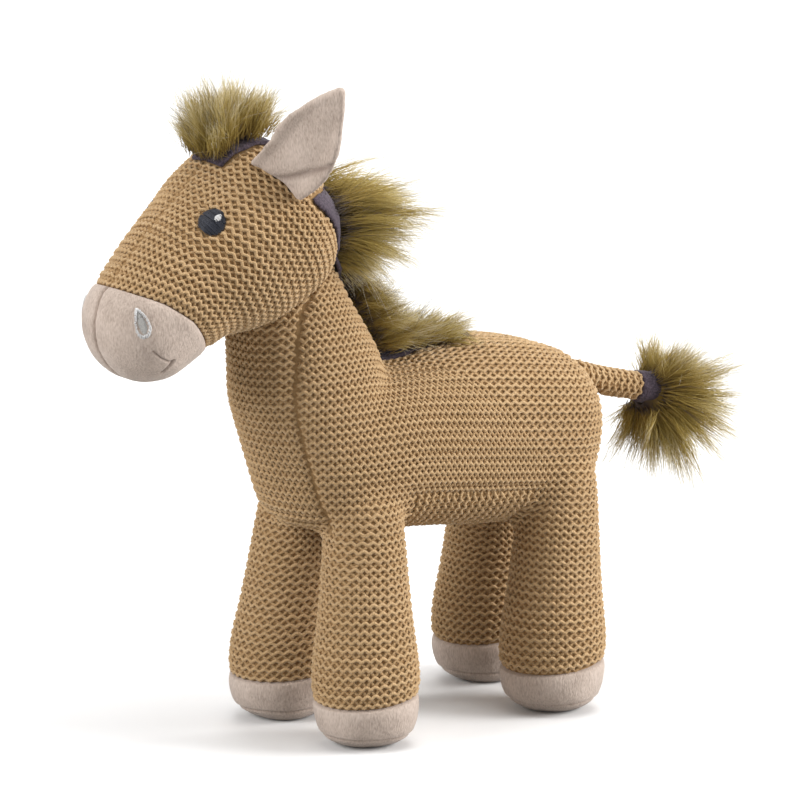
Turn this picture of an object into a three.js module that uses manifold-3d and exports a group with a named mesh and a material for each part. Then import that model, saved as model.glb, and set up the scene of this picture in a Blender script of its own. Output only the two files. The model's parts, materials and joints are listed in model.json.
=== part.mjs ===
// A knitted plush horse, standing. Millimetres, +Z up, nose toward -X, its left side toward -Y.
// Every knitted or plush skin is an open shell round loose stuffing. The forms are lofts through
// oval sections, and each skin is cut from its form by the larger form that it is sewn to.
import * as THREE from 'three';
import Module from 'manifold-3d';

const wasm = await Module();
wasm.setup();

// Cloth and seams
const seamGap = 0.3;
const knitThickness = 2;
const plushThickness = 1.8;
const backingThickness = 1.6;
const stitchHeight = 0.9;
const cutOverrun = 30;
const flatDepth = 0.5;

// Stance: where the feet stand
const footSpacing = 106;
const footTrack = 67;
const footShift = 1;
const farRearStepBack = 11.5;

// Trunk
const bellyHeight = 90;
const trunkHeight = 78;
const trunkWidth = 79;
const trunkCoreLength = 108;
const trunkShift = 4;
const rumpBulge = 40;
const chestBulge = 33;
const trunkShares = [
  { along: 0, rise: 0.455, tall: 0.525, wide: 0.49 },
  { along: 0.3, rise: 0.518, tall: 0.557, wide: 0.5 },
  { along: 0.68, rise: 0.512, tall: 0.492, wide: 0.49 },
  { along: 1, rise: 0.498, tall: 0.472, wide: 0.47 },
];

// Neck, from inside the chest to inside the head
const neckFootDrop = 54;
const neckLength = 96;
const neckLean = 26;
const neckDepth = 72;
const neckWidth = 70;
const neckCap = 14;
const neckShares = [
  { along: 0, lean: 0, deep: 0.43, wide: 0.486 },
  { along: 0.29, lean: 0.27, deep: 0.458, wide: 0.5 },
  { along: 0.55, lean: 0.5, deep: 0.5, wide: 0.47 },
  { along: 0.79, lean: 0.79, deep: 0.41, wide: 0.4 },
  { along: 1, lean: 1, deep: 0.36, wide: 0.357 },
];

// Head and muzzle: one form, pitched nose down, with the muzzle's seam across it
const headForward = 20.6;
const headRise = 25.5;
const headPitch = 32;
const headHeight = 83;
const headWidth = 80;
const headCoreLength = 73;
const headBack = 8;
const crownCap = 33;
const noseCap = 25;
const headShares = [
  { along: 0, lift: 0, tall: 0.497, wide: 0.5 },
  { along: 0.27, lift: 0.012, tall: 0.475, wide: 0.49 },
  { along: 0.58, lift: 0.046, tall: 0.382, wide: 0.41 },
  { along: 0.84, lift: 0.03, tall: 0.34, wide: 0.365 },
  { along: 1, lift: 0.012, tall: 0.32, wide: 0.34 },
];
// The seam's place along the head's core, from under the jaw to the bridge of the nose
const muzzleSeamShares = [
  { along: 0.75, lift: -0.6 },
  { along: 0.8, lift: -0.29 },
  { along: 0.87, lift: 0 },
  { along: 0.95, lift: 0.17 },
  { along: 1.09, lift: 0.34 },
  { along: 1.35, lift: 0.6 },
];

// Legs, from the floor up into the trunk
const legTopHeight = 108;
const hipSpacing = 112;
const hipShift = 9.6;
const hipTrack = 49;
const legWidth = 48.8;
const hoofHeight = 22;
const soleHeight = 6;
const hoofSeamTilt = 5;
const soleCap = 9;
const legTopCap = 8;
const legShares = [
  { along: 0, girth: 0.445 },
  { along: 0.12, girth: 0.49 },
  { along: 0.24, girth: 0.497 },
  { along: 0.4, girth: 0.455 },
  { along: 0.6, girth: 0.41 },
  { along: 0.8, girth: 0.38 },
  { along: 1, girth: 0.34 },
];

// Chest and belly panels
const chestPanelWidth = 47;
const chestPanelBottomShare = 0.08;
const bellyPanelWidth = 74;
const bellyPanelRiseShare = 0.25;
const neckSeamRiseShare = 0.42;
const neckSeamTilt = 28;

// Ears
const earLength = 63;
const earWidth = 38;
const earPly = 1.8;
const earCup = 5;
const earSeatDepth = 6;
const earBack = { left: -2, right: 7 };
const earSpread = 28;
const earFullness = 4;
const earShares = [
  { along: 0, wide: 0.36 },
  { along: 0.15, wide: 0.42 },
  { along: 0.34, wide: 0.5 },
  { along: 0.55, wide: 0.46 },
  { along: 0.75, wide: 0.32 },
  { along: 0.9, wide: 0.16 },
  { along: 1, wide: 0.05 },
];
const earHinges = { left: { low: -25, high: 45 }, right: { low: -4, high: 65 } };

// Embroidery on the face, placed along the head's core and round its section
const eyeDiameter = 12.4;
const glintLength = 4.2;
const glintWidth = 3;
const glintOffset = 2.4;
const eyePlaceShare = 0.43;
const eyeAngles = { left: 41, right: 47 };
const nostrilHeight = 14;
const nostrilWidth = 6.6;
const nostrilThread = 1.4;
const nostrilPlaceShare = 1.11;
const nostrilAngle = 67;
const nostrilTurn = 52;

// Hair: strips of fur fabric, each a backing with its pile
const maneWidth = 22;
const pileWidth = 29;
const pileRound = 7;
const forelockStart = -30;
const forelockEnd = 13;
const maneStart = 16;
const forelockAngle = -12;
const forelockReach = -12;
const forelockRise = 20;
const forelockDepth = 32;
const forelockShares = [
  { along: 0, rise: 0, deep: 0.42, wide: 0.4 },
  { along: 0.4, rise: 0.5, deep: 0.5, wide: 0.5 },
  { along: 1, rise: 1, deep: 0.3, wide: 0.3 },
];
const plumeInset = 15;
const plumeDrop = 11;
const plumeReach = 58;
const plumeRise = 17;
const plumeHeight = 56;
const plumeShares = [
  { along: 0, rise: 0, deep: 0.46, wide: 0.4 },
  { along: 0.5, rise: 0.2, deep: 0.5, wide: 0.5 },
  { along: 1, rise: 1, deep: 0.2, wide: 0.28 },
];
const withersInset = 12;
const withersRise = 22;
const withersReach = 78;
const withersHeight = 30;
const withersShares = [
  { along: 0, rise: 0, deep: 0.4, wide: 0.4 },
  { along: 0.4, rise: 0.25, deep: 0.5, wide: 0.5 },
  { along: 1, rise: 0.9, deep: 0.22, wide: 0.34 },
];

// Tail
const tailDiameter = 11;
const tailLength = 47;
const tailHeight = 55;
const tailDroop = 14;
const tailRootInset = 5;
const tuftSleeve = 11;
const tuftLength = 56;
const tuftDiameter = 47;
const tuftSag = 21;
const tailHinge = { up: -28, down: 45 };
const tuftShares = [
  { along: 0, sag: 0, girth: 0.2 },
  { along: 0.22, sag: 0.08, girth: 0.38 },
  { along: 0.5, sag: 0.35, girth: 0.5 },
  { along: 0.8, sag: 0.75, girth: 0.4 },
  { along: 1, sag: 1, girth: 0.2 },
];

const trunkSides = 20;
const headSides = 20;
const legSides = 14;
const smallSides = 10;
const innerSideShare = 0.67;
const sweepSteps = 4;

const across = new THREE.Vector3(0, 1, 0);
const upward = new THREE.Vector3(0, 0, 1);

// A closed solid from points and triangles
function solidOf(points, triangles) {
  const vertProperties = new Float32Array(points.length * 3);
  points.forEach((point, index) => point.toArray(vertProperties, index * 3));
  const mesh = new wasm.Mesh({ numProp: 3, vertProperties, triVerts: new Uint32Array(triangles) });
  return new wasm.Manifold(mesh);
}

// A solid from a closed three.js geometry, with its shared corners joined
function solidFrom(geometry, matrix) {
  const source = geometry.index ? geometry.toNonIndexed() : geometry;
  source.applyMatrix4(matrix);
  const position = source.getAttribute('position');
  const numbers = new Map();
  const points = [];
  const corners = [];
  for (let i = 0; i < position.count; i += 1) {
    const point = new THREE.Vector3().fromBufferAttribute(position, i);
    const key = point.toArray().map((value) => Math.round(value * 1000)).join(' ');
    if (!numbers.has(key)) {
      numbers.set(key, points.length);
      points.push(point);
    }
    corners.push(numbers.get(key));
  }
  const triangles = [];
  for (let i = 0; i < corners.length; i += 3) {
    const [a, b, c] = corners.slice(i, i + 3);
    if (a !== b && b !== c && c !== a) {
      triangles.push(a, b, c);
    }
  }
  return solidOf(points, triangles);
}

// A stuffed form: oval sections along a smooth spine, with rounded ends. A positive growth
// moves the whole surface outward, a negative one inward.
function stuffedForm(form, growth) {
  const spine = new THREE.CatmullRomCurve3(form.centres);
  const girth = new THREE.CatmullRomCurve3(form.girths);
  const inner = growth < 0;
  const sides = inner ? 2 * Math.round(form.sides * innerSideShare / 2) : form.sides;
  const steps = inner ? Math.ceil(form.steps / 2) : form.steps;
  const { capRings } = form;
  const points = [];
  const rings = [];

  function addRing(centre, tangent, halfWide, halfDeep, shrink) {
    const side = form.side.clone().addScaledVector(tangent, -form.side.dot(tangent)).normalize();
    const deep = new THREE.Vector3().crossVectors(tangent, side);
    const ring = [];
    for (let k = 0; k < sides; k += 1) {
      const angle = (2 * Math.PI * k) / sides;
      const power = 2 / form.fullness;
      const u = Math.sign(Math.cos(angle)) * Math.abs(Math.cos(angle)) ** power;
      const v = Math.sign(Math.sin(angle)) * Math.abs(Math.sin(angle)) ** power;
      ring.push(points.length);
      points.push(centre.clone()
        .addScaledVector(side, u * (halfWide + growth) * shrink)
        .addScaledVector(deep, v * (halfDeep + growth) * shrink));
    }
    rings.push(ring);
  }

  const first = { at: form.centres[0], tangent: spine.getTangent(0), size: form.girths[0] };
  const last = {
    at: form.centres[form.centres.length - 1],
    tangent: spine.getTangent(1),
    size: form.girths[form.girths.length - 1],
  };
  for (let k = 1; k <= capRings; k += 1) {
    const angle = (Math.PI / 2) * (k / (capRings + 1));
    const offset = -Math.cos(angle) * (form.firstCap + growth);
    const centre = first.at.clone().addScaledVector(first.tangent, offset);
    addRing(centre, first.tangent, first.size.x, first.size.y, Math.sin(angle));
  }
  for (let k = 0; k <= steps; k += 1) {
    const t = k / steps;
    const size = girth.getPoint(t);
    addRing(spine.getPoint(t), spine.getTangent(t), size.x, size.y, 1);
  }
  for (let k = capRings; k >= 1; k -= 1) {
    const angle = (Math.PI / 2) * (k / (capRings + 1));
    const offset = Math.cos(angle) * (form.lastCap + growth);
    const centre = last.at.clone().addScaledVector(last.tangent, offset);
    addRing(centre, last.tangent, last.size.x, last.size.y, Math.sin(angle));
  }
  const triangles = [];
  for (let r = 0; r + 1 < rings.length; r += 1) {
    for (let k = 0; k < sides; k += 1) {
      const next = (k + 1) % sides;
      triangles.push(rings[r][k], rings[r][next], rings[r + 1][next]);
      triangles.push(rings[r][k], rings[r + 1][next], rings[r + 1][k]);
    }
  }
  const firstPole = points.length;
  points.push(first.at.clone().addScaledVector(first.tangent, -(form.firstCap + growth)));
  const lastPole = points.length;
  points.push(last.at.clone().addScaledVector(last.tangent, form.lastCap + growth));
  for (let k = 0; k < sides; k += 1) {
    const next = (k + 1) % sides;
    triangles.push(firstPole, rings[0][next], rings[0][k]);
    triangles.push(lastPole, rings[rings.length - 1][k], rings[rings.length - 1][next]);
  }
  return solidOf(points, triangles);
}

// A flat outline in an upright plane through the spine, made solid across the toy
function slab(shape, frame, width) {
  const geometry = new THREE.ExtrudeGeometry(shape, {
    depth: width, steps: 1, curveSegments: 6, bevelEnabled: false,
  });
  geometry.translate(0, 0, -width / 2);
  return solidFrom(geometry, frame);
}

function cutBelow(solid, normal, point) {
  return solid.trimByPlane(normal.toArray(), normal.dot(point));
}

function cutAbove(solid, normal, point) {
  const back = normal.clone().negate();
  return solid.trimByPlane(back.toArray(), back.dot(point));
}

function joined(solids) {
  return solids.reduce((sum, solid) => sum.add(solid));
}

// Trunk
const trunkRear = footShift + trunkShift + trunkCoreLength / 2;
const trunkTop = bellyHeight + trunkHeight;
const trunkForm = {
  centres: trunkShares.map((share) => new THREE.Vector3(
    trunkRear - share.along * trunkCoreLength, 0, bellyHeight + share.rise * trunkHeight)),
  girths: trunkShares.map((share) => new THREE.Vector3(
    share.wide * trunkWidth, share.tall * trunkHeight, 0)),
  side: across,
  sides: trunkSides,
  capRings: 3,
  steps: 6,
  fullness: 2.45,
  firstCap: rumpBulge,
  lastCap: chestBulge,
};
const trunkFront = trunkRear - trunkCoreLength;

// Neck
const neckFoot = new THREE.Vector3(trunkFront, 0, trunkTop - neckFootDrop);
const neckTop = neckFoot.clone().add(new THREE.Vector3(-neckLean, 0, neckLength));
const neckForm = {
  centres: neckShares.map((share) => neckFoot.clone().add(new THREE.Vector3(
    -share.lean * neckLean, 0, share.along * neckLength))),
  girths: neckShares.map((share) => new THREE.Vector3(
    share.wide * neckWidth, share.deep * neckDepth, 0)),
  side: across,
  sides: trunkSides,
  capRings: 3,
  steps: 6,
  fullness: 2,
  firstCap: neckCap,
  lastCap: neckCap,
};

// Head
const pitch = THREE.MathUtils.degToRad(headPitch);
const headAlong = new THREE.Vector3(-Math.cos(pitch), 0, -Math.sin(pitch));
const headLift = new THREE.Vector3(-Math.sin(pitch), 0, Math.cos(pitch));
const headCentre = neckTop.clone().add(new THREE.Vector3(-headForward, 0, headRise));
function headPoint(along, lift) {
  return headCentre.clone()
    .addScaledVector(headAlong, along)
    .addScaledVector(headLift, lift);
}
const headForm = {
  centres: headShares.map((share) => headPoint(
    share.along * headCoreLength - headBack, share.lift * headHeight)),
  girths: headShares.map((share) => new THREE.Vector3(
    share.wide * headWidth, share.tall * headHeight, 0)),
  side: across,
  sides: headSides,
  capRings: 3,
  steps: 8,
  fullness: 2,
  firstCap: crownCap,
  lastCap: noseCap,
};

// Legs
function legForm(sideSign, isRear) {
  const stepBack = isRear && sideSign > 0 ? farRearStepBack : 0;
  const fore = isRear ? 1 : -1;
  const foot = new THREE.Vector3(
    footShift + fore * footSpacing / 2 + stepBack, sideSign * footTrack / 2, soleCap - flatDepth);
  const hip = new THREE.Vector3(
    hipShift + fore * hipSpacing / 2, sideSign * hipTrack / 2, legTopHeight);
  const centres = legShares.map((share) => foot.clone().lerp(hip, share.along));
  return {
    centres,
    girths: legShares.map((share) => new THREE.Vector3(
      share.girth * legWidth, share.girth * legWidth, 0)),
    side: across,
    sides: legSides,
    capRings: 2,
    steps: 8,
    fullness: 2,
    firstCap: soleCap,
    lastCap: legTopCap,
  };
}
const legs = {
  front_left: legForm(-1, false),
  front_right: legForm(1, false),
  rear_left: legForm(-1, true),
  rear_right: legForm(1, true),
};

const coreInset = -(knitThickness + seamGap);
const trunkOuter = stuffedForm(trunkForm, 0);
const trunkInner = stuffedForm(trunkForm, -knitThickness);
const trunkClear = stuffedForm(trunkForm, seamGap);
const neckOuter = stuffedForm(neckForm, 0);
const neckInner = stuffedForm(neckForm, -knitThickness);
const headOuter = stuffedForm(headForm, 0);
const headInner = stuffedForm(headForm, -knitThickness);
const headClear = stuffedForm(headForm, seamGap);
const bodyOuter = trunkOuter.add(neckOuter);
const bodyInner = trunkInner.add(neckInner);

// A piece is the largest body of its cut; what falls off beside it is trimmed away
const pieces = [];
function addPiece(name, solid, finish) {
  const bodies = solid.decompose();
  bodies.sort((one, other) => other.volume() - one.volume());
  pieces.push({ name, solid: bodies[0], finish });
}

const knit = { color: 0xb8956a, roughness: 0.95 };
const paleplush = { color: 0xd6c6bc, roughness: 0.95 };
const darkThread = { color: 0x262a34, roughness: 0.6 };
const whiteThread = { color: 0xe6e4e2, roughness: 0.7 };
const greyThread = { color: 0xa3a3a6, roughness: 0.75 };
const furBacking = { color: 0x4b414b, roughness: 0.95 };
const furPile = { color: 0x96823f, roughness: 0.9 };
const filling = { color: 0xf2f0ea, roughness: 1 };

// The body's knitted skin, open where the legs and the head join it
const floorPoint = new THREE.Vector3(0, 0, 0);
const legInners = Object.values(legs).map((form) => stuffedForm(form, -knitThickness));
const bodySkin = bodyOuter
  .subtract(bodyInner)
  .subtract(joined(legInners))
  .subtract(headClear);

// The chest panel runs up the front of the neck, the belly panel under the trunk
const worldFrame = new THREE.Matrix4().makeBasis(
  new THREE.Vector3(1, 0, 0), upward, new THREE.Vector3(0, -1, 0));
function chestZone(width) {
  const bottom = bellyHeight + chestPanelBottomShare * trunkHeight;
  const shape = new THREE.Shape();
  shape.moveTo(trunkFront, bottom);
  shape.lineTo(neckTop.x, neckTop.z + cutOverrun);
  shape.lineTo(neckTop.x - neckDepth, neckTop.z + cutOverrun);
  shape.lineTo(neckTop.x - neckDepth, bottom);
  shape.closePath();
  return slab(shape, worldFrame, width);
}
function bellyZone(width) {
  const top = bellyHeight + bellyPanelRiseShare * trunkHeight;
  const shape = new THREE.Shape();
  shape.moveTo(trunkRear + rumpBulge / 2, bellyHeight - cutOverrun);
  shape.lineTo(trunkRear + rumpBulge / 2, top);
  shape.lineTo(trunkFront, top);
  shape.lineTo(trunkFront, bellyHeight - cutOverrun);
  shape.closePath();
  return slab(shape, worldFrame, width);
}
const chestPanel = bodySkin.intersect(chestZone(chestPanelWidth));
const chestCut = chestZone(chestPanelWidth + 2 * seamGap);
const bellyPanel = bodySkin.intersect(bellyZone(bellyPanelWidth)).subtract(chestCut);
const bellyCut = bellyZone(bellyPanelWidth + 2 * seamGap);
const sideSkin = bodySkin.subtract(chestCut).subtract(bellyCut);
const neckSeamNormal = new THREE.Vector3(0, 0, 1)
  .applyAxisAngle(across, -THREE.MathUtils.degToRad(neckSeamTilt));
const neckSeamPoint = neckFoot.clone().lerp(neckTop, neckSeamRiseShare);
const neckSeamAbove = neckSeamPoint.clone().addScaledVector(neckSeamNormal, seamGap);
const halfGap = new THREE.Vector3(0, seamGap / 2, 0);
const leftward = new THREE.Vector3(0, -1, 0);
const neckSkin = cutBelow(sideSkin, neckSeamNormal, neckSeamAbove);
const trunkSkin = cutAbove(sideSkin, neckSeamNormal, neckSeamPoint);

function leftHalf(solid) {
  return cutBelow(solid, leftward, halfGap.clone().negate());
}
function rightHalf(solid) {
  return cutBelow(solid, across, halfGap);
}

addPiece('side_panel_left', leftHalf(trunkSkin), knit);
addPiece('side_panel_right', rightHalf(trunkSkin), knit);
addPiece('neck_skin', neckSkin, knit);
addPiece('chest_panel', chestPanel, knit);
addPiece('belly_panel', bellyPanel, knit);

// Legs, hooves and soles: three skins cut from each leg's form
const soleTop = new THREE.Vector3(0, 0, soleHeight);
const legStuffings = [];
for (const [place, form] of Object.entries(legs)) {
  const outer = cutBelow(stuffedForm(form, 0), upward, floorPoint);
  const inner = stuffedForm(form, -knitThickness);
  const plushInner = stuffedForm(form, -plushThickness);
  const tilt = THREE.MathUtils.degToRad(hoofSeamTilt);
  const seamNormal = new THREE.Vector3(-Math.sin(tilt), 0, Math.cos(tilt));
  const seamPoint = form.centres[0].clone().setZ(hoofHeight);
  const seamAbove = seamPoint.clone().addScaledVector(seamNormal, seamGap);
  const plushFloor = new THREE.Vector3(0, 0, plushThickness);
  const leg = cutBelow(outer.subtract(inner), seamNormal, seamAbove)
    .subtract(trunkClear)
    .subtract(stuffedForm(neckForm, seamGap));
  const sock = cutAbove(outer.subtract(plushInner), seamNormal, seamPoint);
  const hoofInner = cutBelow(plushInner, upward, plushFloor);
  const soleShell = outer.subtract(hoofInner);
  addPiece(`leg_${place}`, leg, knit);
  addPiece(`hoof_${place}`,
    cutBelow(sock, upward, soleTop.clone().setZ(soleHeight + seamGap)), paleplush);
  addPiece(`sole_${place}`, cutAbove(soleShell, upward, soleTop), paleplush);
  const core = stuffedForm(form, coreInset);
  legStuffings.push(cutBelow(core, upward, plushFloor.clone().setZ(plushThickness + seamGap)));
}

// Head and muzzle skins, each in two halves with a seam along the middle
const headFrame = new THREE.Matrix4().makeBasis(headAlong, headLift, across);
headFrame.setPosition(headCentre);
function muzzleZone(shift) {
  const curve = new THREE.SplineCurve(muzzleSeamShares.map((share) => new THREE.Vector2(
    share.along * headCoreLength - headBack + shift, share.lift * headHeight)));
  const shape = new THREE.Shape();
  const seam = curve.getPoints(14);
  const far = headCoreLength + noseCap + cutOverrun;
  shape.moveTo(far, seam[0].y);
  shape.lineTo(far, seam[seam.length - 1].y);
  seam.reverse().forEach((point) => shape.lineTo(point.x, point.y));
  shape.closePath();
  return slab(shape, headFrame, headWidth + cutOverrun);
}
const headShell = headOuter.subtract(headInner).subtract(neckInner);
const headSkin = headShell.subtract(muzzleZone(-seamGap));
const muzzleShell = headOuter.subtract(stuffedForm(headForm, -plushThickness));
const muzzleSkin = muzzleShell.intersect(muzzleZone(0));
addPiece('head_left', leftHalf(headSkin), knit);
addPiece('head_right', rightHalf(headSkin), knit);
addPiece('muzzle_left', leftHalf(muzzleSkin), paleplush);
addPiece('muzzle_right', rightHalf(muzzleSkin), paleplush);

// Stuffing: one filling for trunk, neck and legs, one for the head
const headCore = stuffedForm(headForm, coreInset);
const bodyCore = joined([
  stuffedForm(trunkForm, coreInset),
  stuffedForm(neckForm, coreInset),
  ...legStuffings,
]).subtract(stuffedForm(headForm, coreInset + seamGap));
addPiece('body_stuffing', bodyCore, filling);
addPiece('head_stuffing', headCore, filling);

// Eyes and nostrils: raised stitching on the skin's own surface
function faceFrame(placeShare, angle, sideSign, twist) {
  const place = placeShare * headCoreLength - headBack;
  const turn = THREE.MathUtils.degToRad(angle);
  const out = headLift.clone().multiplyScalar(Math.cos(turn))
    .addScaledVector(across, sideSign * Math.sin(turn));
  const along = headAlong.clone()
    .applyAxisAngle(out, -sideSign * THREE.MathUtils.degToRad(twist));
  const aside = new THREE.Vector3().crossVectors(out, along).normalize();
  const frame = new THREE.Matrix4().makeBasis(along, aside, out);
  return frame.setPosition(headPoint(place, 0));
}
function prism(shape, frame) {
  const geometry = new THREE.ExtrudeGeometry(shape, {
    depth: headHeight, steps: 1, curveSegments: 5, bevelEnabled: false,
  });
  return solidFrom(geometry, frame);
}
function ovalShape(x, y, halfLong, halfWide) {
  const shape = new THREE.Shape();
  shape.absellipse(x, y, halfLong, halfWide, 0, 2 * Math.PI, false, 0);
  return shape;
}
function dropShape(halfLong, halfWide) {
  const shape = new THREE.Shape();
  shape.moveTo(-halfLong, 0);
  shape.quadraticCurveTo(-halfLong / 4, halfWide * 1.3, halfLong / 3, halfWide);
  shape.quadraticCurveTo(halfLong, halfWide * 0.8, halfLong, 0);
  shape.quadraticCurveTo(halfLong, -halfWide * 0.8, halfLong / 3, -halfWide);
  shape.quadraticCurveTo(-halfLong / 4, -halfWide * 1.3, -halfLong, 0);
  return shape;
}
function raised(low, high) {
  return stuffedForm(headForm, high).subtract(stuffedForm(headForm, low));
}
const stitchLow = seamGap;
const stitchHigh = seamGap + stitchHeight;
const stitchLayer = raised(stitchLow, stitchHigh);
const glintLayer = raised(stitchHigh + seamGap, stitchHigh + seamGap + stitchHeight / 2);
for (const [side, sideSign] of [['left', -1], ['right', 1]]) {
  const eyeFrame = faceFrame(eyePlaceShare, eyeAngles[side], sideSign, 0);
  const eye = prism(ovalShape(0, 0, eyeDiameter / 2, eyeDiameter / 2), eyeFrame);
  const glint = prism(
    ovalShape(-glintOffset, -sideSign * glintOffset / 2, glintWidth / 2, glintLength / 2), eyeFrame);
  addPiece(`eye_${side}`, stitchLayer.intersect(eye), darkThread);
  addPiece(`eye_glint_${side}`, glintLayer.intersect(glint), whiteThread);
  const nostrilFrame = faceFrame(nostrilPlaceShare, nostrilAngle, sideSign, nostrilTurn);
  const drop = prism(dropShape(nostrilHeight / 2, nostrilWidth / 2), nostrilFrame);
  const hole = prism(dropShape(
    nostrilHeight / 2 - nostrilThread, nostrilWidth / 2 - nostrilThread), nostrilFrame);
  const fill = prism(dropShape(
    nostrilHeight / 2 - nostrilThread - seamGap,
    nostrilWidth / 2 - nostrilThread - seamGap), nostrilFrame);
  addPiece(`nostril_rim_${side}`, stitchLayer.subtract(hole).intersect(drop), whiteThread);
  addPiece(`nostril_centre_${side}`, stitchLayer.intersect(fill), greyThread);
}

// Ears: two plies each, cupped, hinged along the seam at their root
function earPlacement(sideSign, lean, back) {
  const seatBack = sideSign < 0 ? earBack.left : earBack.right;
  const seat = headPoint(0, 0).add(new THREE.Vector3(seatBack, sideSign * earSpread, 0));
  const out = new THREE.Vector3(0, sideSign * earSpread, 0);
  const height = Math.sqrt((headHeight / 2) ** 2 - out.lengthSq());
  seat.z += height;
  const rootLine = new THREE.Vector3(1, sideSign * lean.slant, lean.fall).normalize();
  const long = new THREE.Vector3(back.x, sideSign * back.y, back.z).normalize();
  rootLine.addScaledVector(long, -long.dot(rootLine)).normalize();
  return { seat, rootLine, long };
}
const earPlacementShares = {
  left: { sideSign: -1, slant: 1.17, fall: -0.86, x: 0.15, y: 0.64, z: 0.755 },
  right: { sideSign: 1, slant: -0.98, fall: 0.9, x: 0.79, y: 0.51, z: -0.33 },
};
for (const [side, share] of Object.entries(earPlacementShares)) {
  const { seat, rootLine, long } = earPlacement(
    share.sideSign, { slant: share.slant, fall: share.fall }, share);
  const face = new THREE.Vector3().crossVectors(rootLine, long);
  const forwardSign = Math.sign(face.dot(headAlong));
  const root = seat.clone().addScaledVector(long, -earSeatDepth);
  const clearances = [];
  for (let k = 0; k <= sweepSteps; k += 1) {
    const angle = -THREE.MathUtils.lerp(earHinges[side].low, earHinges[side].high, k / sweepSteps);
    const turn = new THREE.Matrix4().makeTranslation(seat)
      .multiply(new THREE.Matrix4().makeRotationAxis(rootLine, THREE.MathUtils.degToRad(angle)))
      .multiply(new THREE.Matrix4().makeTranslation(seat.clone().negate()));
    clearances.push(headClear.transform(turn.toArray()));
  }
  const clearance = joined(clearances);
  for (const [layer, layerSign] of [['front', 1], ['back', -1]]) {
    const offset = layerSign * forwardSign * (earPly + seamGap) / 2;
    const form = {
      centres: earShares.map((item) => root.clone()
        .addScaledVector(long, item.along * earLength)
        .addScaledVector(face, offset)),
      girths: earShares.map((item) => new THREE.Vector3(item.wide * earWidth, earPly / 2, 0)),
      side: rootLine,
      sides: smallSides,
      capRings: 1,
      steps: 8,
      fullness: earFullness,
      firstCap: earPly / 2,
      lastCap: earPly / 2,
    };
    const flat = stuffedForm(form, 0);
    const cupped = flat.warp((point) => {
      const place = new THREE.Vector3().fromArray(point).sub(root);
      const sideways = place.dot(rootLine) / (earWidth / 2);
      const bend = earCup * forwardSign * sideways * sideways;
      point[0] += face.x * bend;
      point[1] += face.y * bend;
      point[2] += face.z * bend;
    });
    addPiece(`ear_${side}_${layer}`, cupped.subtract(clearance), paleplush);
  }
}

// Mane and forelock: backing strips sewn along the crest, each under its pile
const crestClear = joined([headForm, neckForm, trunkForm].map((form) => stuffedForm(form, seamGap)));
const crestBacked = joined([headForm, neckForm, trunkForm].map(
  (form) => stuffedForm(form, seamGap + backingThickness)));
const crestPiled = joined([headForm, neckForm, trunkForm].map(
  (form) => stuffedForm(form, 2 * seamGap + backingThickness)));
const crownRadius = headHeight / 2;
function crownPoint(angle, radius) {
  const turn = THREE.MathUtils.degToRad(angle);
  return new THREE.Vector2(
    headCentre.x + radius * Math.sin(turn), headCentre.z + radius * Math.cos(turn));
}
function forelockZone(rise) {
  const shape = new THREE.Shape();
  const inner = crownRadius / 2;
  const corners = [
    crownPoint(forelockEnd, inner),
    crownPoint(forelockEnd, crownRadius + rise),
    crownPoint((forelockStart + forelockEnd) / 2, crownRadius + rise),
    crownPoint(forelockStart, crownRadius + rise),
    crownPoint(forelockStart, inner),
  ];
  corners.forEach((corner, index) => {
    if (index === 0) {
      shape.moveTo(corner.x, corner.y);
    } else {
      shape.lineTo(corner.x, corner.y);
    }
  });
  shape.closePath();
  return shape;
}
const backingReach = seamGap + backingThickness + pileRound;
const forelockBacking = crestBacked.subtract(crestClear)
  .intersect(slab(forelockZone(backingReach), worldFrame, maneWidth));
addPiece('forelock_backing', forelockBacking, furBacking);

function maneZone(reach) {
  const start = crownPoint(maneStart, crownRadius + reach);
  const inside = crownPoint(maneStart, crownRadius / 2);
  const shape = new THREE.Shape();
  shape.moveTo(inside.x, inside.y);
  shape.lineTo(start.x, start.y);
  shape.lineTo(headCentre.x + crownRadius + reach, headCentre.z);
  shape.lineTo(neckFoot.x + withersReach, trunkTop + reach);
  shape.lineTo(neckFoot.x + withersReach, trunkTop - trunkHeight / 4);
  shape.lineTo(neckFoot.x, trunkTop - trunkHeight / 4);
  shape.lineTo(headCentre.x, headCentre.z);
  shape.closePath();
  return shape;
}
const maneBacking = crestBacked.subtract(crestClear)
  .intersect(slab(maneZone(backingReach), worldFrame, maneWidth));
addPiece('mane_backing', maneBacking, furBacking);

// The piles: a forelock standing on the crown, an upper plume off the neck, a tuft on the withers
function pileForm(shares, root, reach, lift, deep, wide) {
  return {
    centres: shares.map((share) => root.clone()
      .add(new THREE.Vector3(share.along * reach, 0, share.rise * lift))),
    girths: shares.map((share) => new THREE.Vector3(share.wide * wide, share.deep * deep, 0)),
    side: across,
    sides: smallSides,
    capRings: 2,
    steps: 4,
    fullness: 2,
    firstCap: pileRound,
    lastCap: pileRound,
  };
}
const crown = crownPoint(forelockAngle, crownRadius);
const forelockForm = pileForm(forelockShares, new THREE.Vector3(crown.x, 0, crown.y),
  forelockReach, forelockRise, forelockDepth, pileWidth);
addPiece('forelock_pile', stuffedForm(forelockForm, 0).subtract(crestPiled), furPile);
const plumeForm = pileForm(plumeShares, headCentre.clone().add(new THREE.Vector3(
  crownRadius - plumeInset, 0, -plumeDrop)), plumeReach, plumeRise, plumeHeight, pileWidth);
addPiece('mane_pile_upper', stuffedForm(plumeForm, 0).subtract(crestPiled), furPile);
const withersRoot = new THREE.Vector3(neckFoot.x + withersInset, 0, trunkTop + withersRise);
const withersForm = pileForm(withersShares, withersRoot,
  withersReach - withersInset, -withersRise, withersHeight, pileWidth);
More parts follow.
